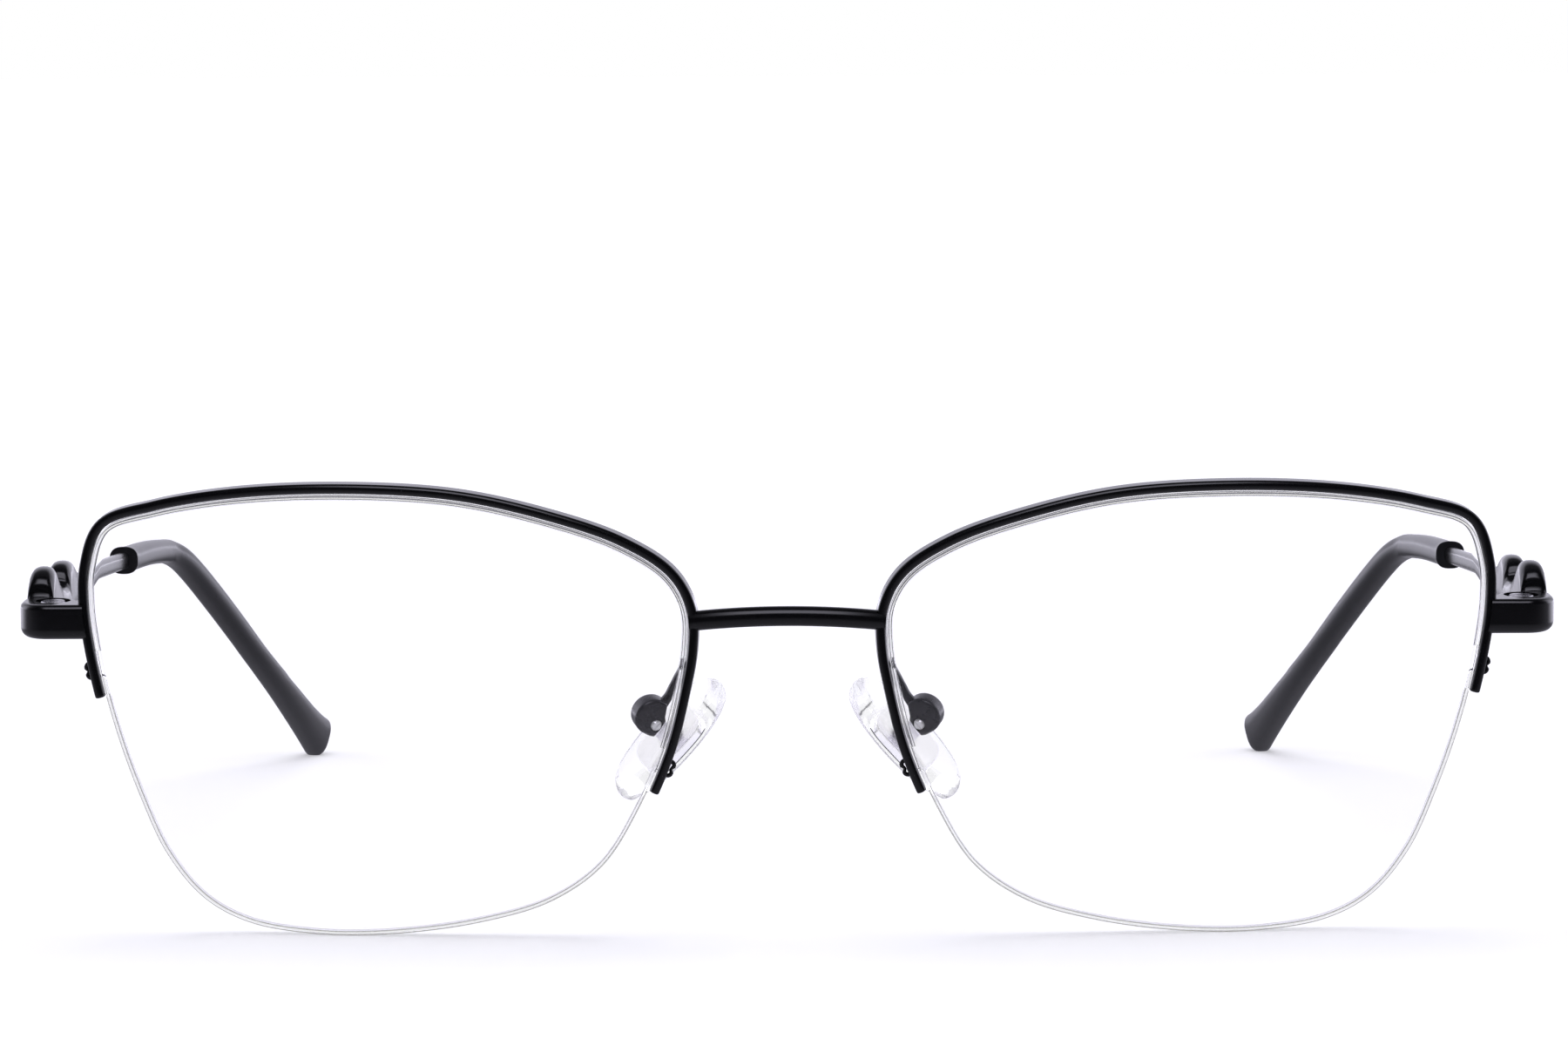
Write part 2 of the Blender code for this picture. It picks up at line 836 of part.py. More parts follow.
def make_end_piece():
    """Cast block with the fork of the hinge, brazed to the eyewire's outer flank."""
    half = end_piece_height / 2
    block = prism('end_piece', end_piece_outline(), -half, half, hinge_place)
    soften = block.modifiers.new('edges', 'BEVEL')
    soften.width = end_piece_edge_round
    soften.segments = 2
    soften.limit_method = 'ANGLE'
    soften.angle_limit = bevel_angle
    carve(block, rim_seat(end_piece_rise_on_rim, False))
    half_slot = hinge_slot_height / 2
    slot_radius = tongue_eye_radius + tongue_swing_gap
    slot_front = -tongue_inner_reach - tongue_swing_gap
    long_way = hinge_outset_from_rim + rim_depth + cut_overrun
    rear = end_piece_rear_reach + cut_overrun
    meets = math.degrees(math.asin(-slot_front / slot_radius))
    slot = arc(0.0, 0.0, slot_radius, meets - 180, 0, 7)
    slot = [(-long_way, slot_front)] + slot + [(slot_radius, rear), (-long_way, rear)]
    carve(block, prism('cutter', slot, -half_slot, half_slot, hinge_place))
    bore = ellipse(hinge_hole_diameter, hinge_hole_diameter, round_sides)
    carve(block, prism('cutter', bore, -half - cut_overrun, half + cut_overrun, hinge_place))
    sink = ellipse(hinge_screw_sink_diameter, hinge_screw_sink_diameter, round_sides + 4)
    carve(block, prism('cutter', sink, half - hinge_screw_sink_depth, half + cut_overrun,
                       hinge_place))
    return block


def screw(head_diameter, head_height, shank_diameter, shank_length, slot_width, slot_depth,
          sides, place):
    """Slotted screw: its head's underside at z = 0, the head above and the shank below."""
    levels = (
        (shank_diameter, -shank_length),
        (shank_diameter, 0.0),
        (head_diameter, 0.0),
        (head_diameter, head_height),
    )
    rings = [[place @ Vector((x, y, level)) for x, y in ellipse(width, width, sides)]
             for width, level in levels]
    body = skin_rings('screw', rings)
    slot = rectangle(-head_diameter, head_diameter, -slot_width / 2, slot_width / 2)
    return carve(body, prism('cutter', slot, head_height - slot_depth, head_height + cut_overrun,
                             place))


def make_hinge_screw():
    half = end_piece_height / 2
    seat = half - hinge_screw_sink_depth + hinge_screw_seat_gap
    place = hinge_place @ Matrix.Translation((0.0, 0.0, seat))
    return screw(hinge_screw_head_diameter, hinge_screw_head_height, hinge_screw_diameter,
                 seat + half - hinge_screw_seat_gap, hinge_screw_slot_width,
                 hinge_screw_slot_depth, round_sides, place)


# Temple

class TempleRoute:
    """Centre line of the temple from the hinge line to its end, with lengths measured along it."""

    def __init__(self, drop):
        start = hinge_point + Vector((temple_outset_from_hinge, 0.0, 0.0))
        stops = []
        for run, inward, down in temple_route_shares:
            stops.append(start + Vector((-inward * temple_inward, run * temple_run, -down * drop)))
        self.points = centripetal_spline(stops, spline_steps, False)
        self.length_at = [0.0]
        for before, after in zip(self.points, self.points[1:]):
            self.length_at.append(self.length_at[-1] + (after - before).length)
        self.total = self.length_at[-1]

    def frame(self, length):
        """Point on the centre line with its sideways and upward directions."""
        last = len(self.points) - 1
        index = 0
        while index < last - 1 and self.length_at[index + 1] < length:
            index += 1
        share = (length - self.length_at[index]) / (self.length_at[index + 1]
                                                    - self.length_at[index])
        centre = self.points[index].lerp(self.points[index + 1], share)
        along = (self.points[min(index + 2, last)] - self.points[max(index - 1, 0)]).normalized()
        outward = along.cross(Vector((0.0, 0.0, 1.0))).normalized()
        return centre, outward, outward.cross(along)

    def ring(self, length, section, lift=0.0):
        centre, outward, up = self.frame(length)
        return [centre + outward * x + up * (y + lift) for x, y in section]

    def spread(self, start, end, segments):
        """Lengths from start to end, closer together at the ear bend."""
        samples = segments * spline_steps
        lengths = [start + (end - start) * step / samples for step in range(samples + 1)]
        weight = [0.0]
        for before, after in zip(lengths, lengths[1:]):
            turn = self.frame(before)[2].angle(self.frame(after)[2], 0.0)
            weight.append(weight[-1] + (after - before) + turn * temple_inward)
        spots = []
        index = 0
        for step in range(segments + 1):
            goal = weight[-1] * step / segments
            while index < samples - 1 and weight[index + 1] < goal:
                index += 1
            share = (goal - weight[index]) / (weight[index + 1] - weight[index])
            spots.append(lengths[index] + share * (lengths[index + 1] - lengths[index]))
        return spots


def tip_swell(share):
    """Share, from nought to one, by which the tip has widened at a share of its length."""
    for before, after in zip(tip_swell_shares, tip_swell_shares[1:]):
        if share <= after[0]:
            part = (share - before[0]) / (after[0] - before[0])
            return before[1] + part * (after[1] - before[1])
    return 1.0


def tip_ring(line, length, size):
    swell = tip_swell((length - tip_start_run) / (line.total - tip_start_run))
    width = tip_width + (tip_end_width - tip_width) * swell
    height = tip_height + (tip_end_height - tip_height) * swell
    section = ellipse(width * size, height * size, tip_sides, oval_power)
    return line.ring(length, section, tip_end_lift * swell)


def tip_rings(line):
    """Rings of the moulded tip from its open front end to its rounded rear end."""
    spots = line.spread(tip_start_run, line.total - tip_end_round, temple_segments)
    flare = 1.0 + tip_mouth_flare
    rings = [tip_ring(line, spots[0], tip_mouth_size_share * flare)]
    rings += [tip_ring(line, spots[0] + tip_mouth_round, flare)]
    for spot in spots[1:]:
        left = max(0.0, 1.0 - (spot - tip_start_run) / tip_flare_length)
        rings.append(tip_ring(line, spot, 1.0 + tip_mouth_flare * left ** 2))
    for past_share, size_share in tip_end_shares:
        rings.append(tip_ring(line, spots[-1] + tip_end_round * past_share, size_share))
    return rings


def standing_route():
    """Route whose tip just reaches the table once its foot is cut flat."""
    drop = hinge_point.z
    for _ in range(standing_rounds):
        lowest = min(point.z for ring in tip_rings(TempleRoute(drop)) for point in ring)
        drop += lowest + tip_foot_depth
    return TempleRoute(drop)


route = standing_route()
trim_start = end_piece_rear_reach + temple_front_gap
trim_end = trim_start + trim_length
tip_end = route.total
arm_start = trim_end - trim_bore_depth + trim_bore_gap
arm_end = tip_end - tip_bore_end_margin
tip_spots = route.spread(tip_start_run, tip_end - tip_end_round, temple_segments)


def make_temple_hinge():
    """Hinge tongue: an eye about the screw and a tang that runs into the trim."""
    half = tongue_thickness / 2
    radius = tongue_eye_radius
    shape = [(-tongue_inner_reach, tongue_length)]
    meets = math.degrees(math.acos(-tongue_inner_reach / radius))
    shape += arc(0.0, 0.0, radius, meets, 360, 14)
    shape += [(radius, tongue_length)]
    tongue = prism('temple_hinge', shape, -half, half, hinge_place)
    bore = ellipse(hinge_hole_diameter, hinge_hole_diameter, round_sides)
    return carve(tongue, prism('cutter', bore, -half - cut_overrun, half + cut_overrun,
                               hinge_place))


def trim_ring(shares):
    """Section of the trim at one place: wide at the waist, narrow at the crest."""
    along, top_share, low_share, waist_share, crest_share = shares
    half_waist = temple_trim_width / 2 * waist_share
    half_crest = half_waist * crest_share
    top = trim_hump_height * top_share
    low = -trim_lower_height * low_share
    flank_low = low * trim_flank_low_share
    flank_top = max((top + low) / 2, 0.0) * trim_flank_top_share
    section = (
        (half_waist, flank_low),
        (half_waist, flank_top),
        (half_crest, top * trim_crest_low_share),
        (half_crest * trim_crest_flat_share, top),
        (-half_crest * trim_crest_flat_share, top),
        (-half_crest, top * trim_crest_low_share),
        (-half_waist, flank_top),
        (-half_waist, flank_low),
        (-half_waist * trim_under_flat_share, low),
        (half_waist * trim_under_flat_share, low),
    )
    return route.ring(trim_start + along * trim_length, section)


def make_temple_trim():
    """Cast front of the temple with two humps, a slot for the tang and a bore for the arm."""
    trim = skin_rings('temple_trim', [trim_ring(shares) for shares in trim_section_shares])
    half_slot = hinge_slot_height / 2
    slot_outer = tongue_eye_radius + braze_gap
    slot = rectangle(-temple_trim_width, slot_outer, trim_start - cut_overrun,
                     tongue_length + braze_gap)
    carve(trim, prism('cutter', slot, -half_slot, half_slot, hinge_place))
    bore = ellipse(arm_width + 2 * trim_bore_gap, arm_height + 2 * trim_bore_gap, wire_sides,
                   oval_power)
    span = trim_bore_depth + cut_overrun
    rings = [route.ring(trim_end - trim_bore_depth + span * step / bore_steps, bore)
             for step in range(bore_steps + 1)]
    return carve(trim, skin_rings('cutter', rings))


def make_temple_wire():
    """Metal arm, which runs on inside the tip as its core."""
    section = ellipse(arm_width, arm_height, wire_sides, oval_power)
    inside = [spot for spot in tip_spots if tip_start_run < spot < arm_end]
    spots = route.spread(arm_start, tip_start_run, temple_segments // 3) + inside + [arm_end]
    return skin_rings('temple_wire', [route.ring(spot, section) for spot in spots])


def make_temple_tip():
    """Moulded sleeve: bored for the arm, swelling towards a rounded end with a small flat foot."""
    tip = skin_rings('temple_tip', tip_rings(route))
    bore = ellipse(arm_width + 2 * tip_bore_gap, arm_height + 2 * tip_bore_gap, wire_sides,
                   oval_power)
    inside = [spot for spot in tip_spots if tip_start_run < spot < arm_end]
    spots = [tip_start_run - cut_overrun] + inside + [arm_end + arm_end_gap]
    carve(tip, skin_rings('cutter', [route.ring(spot, bore) for spot in spots]))
    far = temple_run * 2
    below = rectangle(-far, far, -far, far)
    return carve(tip, prism('cutter', below, -cut_overrun, 0.0, Matrix.Identity(4)))


# Nose pads

def pad_section(size_share, level):
    """Ring of the pad at a level towards the nose; narrower at its upper end."""
    points = []
    for side in range(pad_sides):
        angle = 2 * math.pi * side / pad_sides
        along = math.sin(angle)
        width = pad_width / 2 * (1 - pad_taper_share * along)
        across = math.cos(angle)
        squared = math.copysign(abs(across) ** pad_squareness, across)
        points.append(pad_place @ Vector((squared * width * size_share,
                                          pad_axis_to_core + level,
                                          along * pad_length / 2 * size_share
                                          - pad_centre_drop)))
    return points


def make_nose_pad():
    """Soft pad with a domed face, and a pocket for the core with a way out for its lug."""
    half = pad_thickness / 2
    rings = [pad_section(size_share, half * level_share)
             for size_share, level_share in pad_profile_shares]
    back_pole = pad_place @ Vector((0.0, pad_axis_to_core - half * pad_back_share,
                                    -pad_centre_drop))
    face_pole = pad_place @ Vector((0.0, pad_axis_to_core + half, -pad_centre_drop))
    pad = skin_domed('nose_pad', rings, back_pole, face_pole)
    carve(pad, core_plate(pad_core_gap))
    carve(pad, lug_block(pad_core_gap, pad_axis_to_core - pad_thickness))
    return pad


def core_plate(grow):
    """Rounded plate in the middle of the pad, grown by a gap when it cuts the pocket."""
    shape = ellipse(pad_core_width + 2 * grow, pad_core_length + 2 * grow, round_sides - 4,
                    pad_core_power)
    middle = Vector((0.0, pad_axis_to_core + pad_core_shift, -pad_centre_drop))
    place = pad_place @ local_frame(middle, Vector((1.0, 0.0, 0.0)),
                                    Vector((0.0, 0.0, 1.0)), Vector((0.0, -1.0, 0.0)))
    half = pad_core_thickness / 2 + grow
    return prism('core_plate', shape, -half, half, place)


def lug_block(grow, start):
    """Straight neck of the lug, from a level on the pad axis to inside the core plate."""
    half_width = pad_lug_thickness / 2 + grow
    half_height = pad_lug_radius + grow
    shape = rectangle(-half_width, half_width, start, pad_axis_to_core + pad_core_shift)
    return prism('lug', shape, -half_height, half_height, pad_place)


def make_pad_insert():
    """Stiff core of the pad with the lug that sits in the box."""
    shape = arc(0.0, 0.0, pad_lug_radius, 90, 270, 8)
    far = pad_axis_to_core + pad_core_shift
    shape += [(far, -pad_lug_radius), (far, pad_lug_radius)]
    half = pad_lug_thickness / 2
    place = pad_place @ local_frame(Vector((0.0, 0.0, 0.0)), Vector((0.0, 1.0, 0.0)),
                                    Vector((0.0, 0.0, 1.0)), Vector((1.0, 0.0, 0.0)))
    lug = prism('pad_insert', shape, -half, half, place)
    carve(lug, core_plate(0.0), 'UNION')
    hole_diameter = pad_screw_diameter + 2 * pad_screw_gap
    hole = ellipse(hole_diameter, hole_diameter, wire_sides + 2)
    return carve(lug, prism('cutter', hole, -pad_box_depth, pad_box_depth, place))


def make_pad_screw():
    """Small bright screw through the box; its head faces forward."""
    half = pad_box_depth / 2
    seat = half - pad_screw_head_height
    place = pad_place @ local_frame(Vector((0.0, 0.0, 0.0)), Vector((0.0, 0.0, 1.0)),
                                    Vector((0.0, 1.0, 0.0)), Vector((-1.0, 0.0, 0.0)))
    place = place @ Matrix.Translation((0.0, 0.0, seat + pad_screw_gap))
    return screw(pad_screw_head_diameter, pad_screw_head_height, pad_screw_diameter,
                 seat + half, pad_screw_slot_width, pad_screw_slot_depth, wire_sides + 2, place)


def pad_arm_centres():
    """Centre line of the pad arm: from the back of the eyewire, back and down into the box."""
    foot = on_front(nasal_length(pad_arm_foot_rise), rim_lens_gap + rim_thickness / 2,
                    groove_centre)
    above = pad_place @ Vector((0.0, -pad_arm_entry_back, pad_arm_entry_rise))
    inside = pad_place @ Vector((0.0, -pad_arm_entry_back, pad_box_radius * pad_arm_inside_share))
    points = []
    for out, back, down in pad_arm_route_shares:
        points.append(Vector((foot.x + out * (above.x - foot.x),
                              foot.y + back * (above.y - foot.y),
                              foot.z + down * (above.z - foot.z))))
    return centripetal_spline(points + [inside], 3, False)


def pad_box_outline():
    """Side of the pad box: a thumb shape, round at its back and narrower towards the pad."""
    end_half = pad_lug_radius + pad_lug_gap
    points = arc(-pad_box_centre_back, pad_box_centre_rise, pad_box_radius,
                 pad_box_neck_degrees, 360 - pad_box_neck_degrees, 12)
    points += [(pad_box_shoulder, -pad_box_shoulder_half_height), (pad_box_reach, -end_half)]
    points += [(pad_box_reach, end_half), (pad_box_shoulder, pad_box_shoulder_half_height)]
    return points


def make_pad_arm():
    """Bent wire with the box that holds the pad."""
    centres = pad_arm_centres()
    rings = []
    section = ellipse(pad_arm_diameter, pad_arm_diameter, wire_sides)
    sideways = Vector((1.0, 0.0, 0.0))
    for index, centre in enumerate(centres):
        before = centres[max(index - 1, 0)]
        after = centres[min(index + 1, len(centres) - 1)]
        along = (after - before).normalized()
        sideways = (sideways - along * sideways.dot(along)).normalized()
        upward = along.cross(sideways)
        rings.append([centre + sideways * x + upward * y for x, y in section])
    arm = skin_rings('pad_arm', rings)
    side_view = pad_place @ local_frame(Vector((0.0, 0.0, 0.0)), Vector((0.0, 1.0, 0.0)),
                                        Vector((0.0, 0.0, 1.0)), Vector((1.0, 0.0, 0.0)))
    half = pad_box_depth / 2
    carve(arm, prism('cutter', pad_box_outline(), -half, half, side_view), 'UNION')
    half_slot = pad_lug_thickness / 2 + pad_lug_gap
    slot_bottom = -pad_lug_radius - pad_lug_gap
    slot_reach = pad_lug_radius + pad_lug_gap * 2
    slot = rectangle(slot_bottom, pad_box_reach + cut_overrun, -slot_reach, slot_reach)
    carve(arm, prism('cutter', slot, -half_slot, half_slot, side_view))
    hole_diameter = pad_screw_diameter + 2 * pad_screw_gap
    hole = ellipse(hole_diameter, hole_diameter, wire_sides + 2)
    carve(arm, prism('cutter', hole, -half - cut_overrun, half + cut_overrun, side_view))
    sink_diameter = pad_screw_head_diameter + 2 * pad_lug_gap
    sink = ellipse(sink_diameter, sink_diameter, wire_sides + 2)
    carve(arm, prism('cutter', sink, -half - cut_overrun, pad_screw_head_height - half, side_view))
    carve(arm, rim_seat(pad_arm_foot_rise, True, True))
    return arm


# Materials

def paint(name, colour, roughness, metallic, clear=0.0):
    """One plain material with the piece's own colour and gloss."""
    material = bpy.data.materials.new(name)
    material.use_nodes = True
    shader = material.node_tree.nodes['Principled BSDF']
    shader.inputs['Base Color'].default_value = (*colour, 1.0)
    shader.inputs['Roughness'].default_value = roughness
    shader.inputs['Metallic'].default_value = metallic
    shader.inputs['Transmission Weight'].default_value = clear
    material.diffuse_color = (*colour, 1.0 - clear / 2)
    material.roughness = roughness
    material.metallic = metallic
    return material


def black_enamel():
    return paint('black_enamel', (0.008, 0.008, 0.010), 0.22, 0.0)


def black_acetate():
    return paint('black_acetate', (0.012, 0.012, 0.014), 0.30, 0.0)


def clear_resin():
    return paint('clear_resin', (0.97, 0.98, 0.98), 0.02, 0.0, 1.0)


def clear_nylon():
    return paint('clear_nylon', (0.86, 0.87, 0.88), 0.15, 0.0, 0.8)


def clear_silicone():
    return paint('clear_silicone', (0.94, 0.94, 0.95), 0.12, 0.0, 0.9)


def bright_steel():
    return paint('bright_steel', (0.55, 0.55, 0.56), 0.25, 1.0)


# Assembly

def mirror_to_side(piece, side):
    """Turns a piece of the +X half into its mirror image when side is -1."""
    if side < 0:
        piece.data.transform(Matrix.Diagonal((-1.0, 1.0, 1.0, 1.0)))
        piece.data.flip_normals()


def new_empty(name, place, parent):
    empty = bpy.data.objects.new(name, None)
    empty.empty_display_size = cut_overrun
    bpy.context.scene.collection.objects.link(empty)
    empty.parent = parent
    empty.matrix_local = place
    return empty


def mirrored_place(place, side):
    """Axes at the mirrored point; the mirrored axes stay right-handed."""
    if side > 0:
        return place.copy()
    turned = Matrix.Diagonal((-1.0, 1.0, 1.0, 1.0)) @ place
    return turned @ Matrix.Diagonal((-1.0, 1.0, 1.0, 1.0))


def seat_piece(piece, name, side, carrier, material):
    """Names, mirrors, colours and shades a piece, and hangs it on its carrier."""
    mirror_to_side(piece, side)
    piece.name = name
    piece.data.name = name
    piece.data.materials.clear()
    piece.data.materials.append(material)
    piece.data.shade_smooth()
    piece.data.set_sharp_from_angle(angle=sharp_angle)
    piece.data.transform(carrier.matrix_local.inverted())
    piece.parent = carrier


def make_half(side, root):
    """All pieces of one half, each on the body that carries it."""
    word = 'left' if side > 0 else 'right'
    hinge = new_empty(word + '_temple_axis', mirrored_place(hinge_place, side), root)
    rocker = new_empty(word + '_pad_axis', mirrored_place(pad_place, side), root)
    pieces = (
        (make_rim, 'rim', root, black_enamel),
        (make_rim_liner, 'rim_liner', root, clear_nylon),
        (make_lens, 'lens', root, clear_resin),
        (make_lens_cord, 'lens_cord', root, clear_nylon),
        (make_end_piece, 'end_piece', root, black_enamel),
        (make_hinge_screw, 'hinge_screw', root, bright_steel),
        (make_pad_arm, 'pad_arm', root, black_enamel),
        (make_pad_screw, 'pad_screw', root, bright_steel),
        (make_nose_pad, 'nose_pad', rocker, clear_silicone),
        (make_pad_insert, 'pad_insert', rocker, bright_steel),
        (make_temple_hinge, 'temple_hinge', hinge, black_enamel),
        (make_temple_trim, 'temple_trim', hinge, black_enamel),
        (make_temple_wire, 'temple_wire', hinge, black_enamel),
        (make_temple_tip, 'temple_tip', hinge, black_acetate),
    )
    for make, piece_word, carrier, finish in pieces:
        seat_piece(make(), word + '_' + piece_word, side, carrier, finish())


def stand_on_origin(root):
    """Moves the whole object so that the centre of its base lies at the origin."""
    bpy.context.view_layer.update()
    corners = []
    for item in bpy.context.scene.objects:
        if item.type == 'MESH':
            corners += [item.matrix_world @ vertex.co for vertex in item.data.vertices]
    low_y = min(corner.y for corner in corners)
    high_y = max(corner.y for corner in corners)
    low_z = min(corner.z for corner in corners)
    root.location = Vector((0.0, -(low_y + high_y) / 2, -low_z))
    bpy.context.view_layer.update()


def main():
    for item in list(bpy.data.objects):
        bpy.data.objects.remove(item, do_unlink=True)
    root = new_empty('spectacles', Matrix.Identity(4), None)
    seat_piece(make_bridge(), 'bridge', 1, root, black_enamel())
    for side in (1, -1):
        make_half(side, root)
    stand_on_origin(root)


main()
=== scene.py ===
"""Semi-rimless spectacles: black lacquered wire over clear lenses hung on nylon cord.

Metres, +Z up. The wearer looks along -Y and their left is at +X. Every paired piece is made for
the left half and mirrored to the right.
"""

import json
import math
from bisect import bisect_left, bisect_right

import bmesh
import bpy
from mathutils import Matrix, Vector


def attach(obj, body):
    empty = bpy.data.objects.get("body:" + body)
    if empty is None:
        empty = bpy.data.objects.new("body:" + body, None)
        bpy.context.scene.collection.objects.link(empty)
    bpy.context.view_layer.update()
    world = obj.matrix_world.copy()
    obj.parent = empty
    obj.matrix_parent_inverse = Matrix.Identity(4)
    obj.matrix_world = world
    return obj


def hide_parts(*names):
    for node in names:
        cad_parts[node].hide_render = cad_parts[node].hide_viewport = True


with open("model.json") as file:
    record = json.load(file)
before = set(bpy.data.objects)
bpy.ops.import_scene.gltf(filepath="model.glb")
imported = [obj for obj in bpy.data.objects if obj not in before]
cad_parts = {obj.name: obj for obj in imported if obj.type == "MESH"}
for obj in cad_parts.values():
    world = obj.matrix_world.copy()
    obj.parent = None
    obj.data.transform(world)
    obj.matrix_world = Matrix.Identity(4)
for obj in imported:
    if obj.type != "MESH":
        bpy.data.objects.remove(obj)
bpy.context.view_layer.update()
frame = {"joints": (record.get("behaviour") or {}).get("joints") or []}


# Lenses
# Plano blanks of cast CR-39 resin, polished on both faces and edged to shape. The edge is buffed
# clear, but its broken corners and the floor of the nylon's groove stay as the wheel left them;
# along the free edge their grey is painted shade.

lens_width = 0.0539
lens_height = 0.0404
lens_thickness = 0.0018
lens_polish_loss = 0.000025
lens_curve_radius = 0.1060
lens_gap_at_nose = 0.01865
lens_edge_chamfer = 0.00015
lens_groove_depth = 0.00050
lens_groove_width = 0.00056
front_lean = math.radians(6.0)
face_form = math.radians(4.0)
lens_outline_shares = (
    (-0.926, -0.144), (-0.972, 0.094), (-1.000, 0.312), (-0.996, 0.478), (-0.938, 0.624),
    (-0.783, 0.765), (-0.527, 0.889), (-0.230, 0.976), (0.141, 1.000), (0.497, 0.970),
    (0.776, 0.899), (0.946, 0.814), (0.996, 0.644), (1.000, 0.470), (0.970, 0.210),
    (0.915, -0.079), (0.839, -0.376), (0.750, -0.649), (0.627, -0.851), (0.479, -0.955),
    (0.252, -1.000), (-0.007, -0.993), (-0.315, -0.933), (-0.549, -0.837), (-0.720, -0.673),
    (-0.842, -0.411),
)
dome_shares = (0.12, 0.28, 0.44, 0.58, 0.70, 0.81, 0.90, 0.965, 0.985)
outline_steps = 48
rim_spans = 250
cord_spans = 170

rim_lens_gap = 0.00012
rim_nasal_end_drop = 0.0067
rim_outer_end_rise = 0.00135


def into_scene(thing):
    bpy.context.scene.collection.objects.link(thing)
    return thing


def new_piece(vertices, faces, name="unnamed"):
    """A mesh object whose faces all look outwards."""
    mesh = bpy.data.meshes.new(name)
    mesh.from_pydata([tuple(vertex) for vertex in vertices], [], faces)
    shell = bmesh.new()
    shell.from_mesh(mesh)
    bmesh.ops.recalc_face_normals(shell, faces=shell.faces)
    shell.to_mesh(mesh)
    shell.free()
    return into_scene(bpy.data.objects.new(name, mesh))


def skin(rings, poles=()):
    """Joins equal rings into a shell that ends in two flat caps, or in fans round two poles."""
    count = len(rings[0])
    vertices = [point for ring in rings for point in ring]
    last_ring = len(vertices) - count
    faces = []
    for start in range(0, last_ring, count):
        for side in range(count):
            after = (side + 1) % count
            faces.append((start + side, start + after, start + count + after,
                          start + count + side))
    if not poles:
        caps = [tuple(range(count)), tuple(range(last_ring, len(vertices)))]
        return new_piece(vertices, faces + caps)
    for side in range(count):
        after = (side + 1) % count
        faces.append((side, after, len(vertices)))
        faces.append((last_ring + side, last_ring + after, len(vertices) + 1))
    return new_piece(vertices + poles, faces)


def spline(points, steps, closed=False):
    """Smooth curve through points: a centripetal Catmull-Rom spline, by repeated blending."""
    count = len(points)
    curve = []
    for span in range(count if closed else count - 1):
        if closed:
            near = [points[(span + shift) % count] for shift in (-1, 0, 1, 2)]
        else:
            first, second = points[span], points[span + 1]
            before = points[span - 1] if span else first * 2 - second
            after = points[span + 2] if span + 2 < count else second * 2 - first
            near = [before, first, second, after]
        knots = [0.0]
        for first, second in zip(near, near[1:]):
            knots.append(knots[-1] + math.sqrt((second - first).length))
        for step in range(steps):
            here = knots[1] + (knots[2] - knots[1]) * step / steps
            level = list(near)
            for width in (1, 2):
                level = [level[k].lerp(level[k + 1],
                                       (here - knots[k]) / (knots[k + width] - knots[k]))
                         for k in range(len(level) - 1)]
            share = (here - knots[1]) / (knots[2] - knots[1])
            curve.append(level[0].lerp(level[1], share))
    if not closed:
        curve.append(points[-1].copy())
    return curve


def running_lengths(points):
    """Length along a chain of points up to each of them."""
    lengths = [0.0]
    for here, there in zip(points, points[1:]):
        lengths.append(lengths[-1] + (there - here).length)
    return lengths


class Outline:
    """Closed outline of the lens edge, with lengths measured along it."""

    def __init__(self):
        self.points = spline([Vector((u * lens_width / 2, v * lens_height / 2))
                              for u, v in lens_outline_shares], outline_steps, True)
        self.lengths = running_lengths(self.points + self.points[:1])
        self.total = self.lengths[-1]

    def at(self, length):
        """Point and outward normal at a length along the outline."""
        length = length % self.total
        low = bisect_right(self.lengths, length, 0, len(self.points)) - 1
        share = (length - self.lengths[low]) / (self.lengths[low + 1] - self.lengths[low])
        there = (low + 1) % len(self.points)
        normal = self.normal(low).lerp(self.normal(there), share).normalized()
        return self.points[low].lerp(self.points[there], share), normal

    def normal(self, index):
        after = self.points[(index + 1) % len(self.points)]
        along = (after - self.points[index - 1]).normalized()
        return Vector((-along.y, along.x))

    def length_where(self, height, nasal):
        """Length at which the outline crosses a height on its nasal or its outer side."""
        for index, here in enumerate(self.points):
            there = self.points[(index + 1) % len(self.points)]
            low, high = (here.y, there.y) if nasal else (there.y, here.y)
            if low <= height < high:
                share = (height - here.y) / (there.y - here.y)
                length = self.lengths[index] + share * (self.lengths[index + 1]
                                                        - self.lengths[index])
                return length - self.total if nasal and length > self.total / 2 else length


def spaced(start, end, spans):
    return [start + (end - start) * step / spans for step in range(spans + 1)]


def sphere_sag(spot):
    """How far the lens surface lies behind its foremost point."""
    return lens_curve_radius - math.sqrt(lens_curve_radius ** 2 - spot.length_squared)


def on_edge(length, outward, back):
    """Point in the lens's own axes, outward from its edge and back from its front surface."""
    spot, normal = outline.at(length)
    place = spot + normal * outward
    sag = sphere_sag(place if outward < 0 else spot)
    return Vector((place.x, sag + back, place.y))


def on_front(length, outward, back):
    return lens_place @ on_edge(length, outward, back)


def on_surface(length, share, back):
    spot = outline.at(length)[0] * share
    return lens_place @ Vector((spot.x, sphere_sag(spot) + back, spot.y))


outline = Outline()
rim_start = outline.length_where(-rim_nasal_end_drop, True)
rim_end = outline.length_where(rim_outer_end_rise, False)
cord_spots = spaced(rim_end, rim_start + outline.total, cord_spans)
lens_turn = Matrix.Rotation(front_lean, 4, 'X') @ Matrix.Rotation(face_form, 4, 'Z')
lowest = min((lens_turn @ on_edge(length, 0.0, lens_edge_chamfer)).z for length in cord_spots)
lens_across = (lens_gap_at_nose + lens_width * math.cos(face_form)) / 2
lens_place = Matrix.Translation((lens_across, 0.0, -lowest)) @ lens_turn

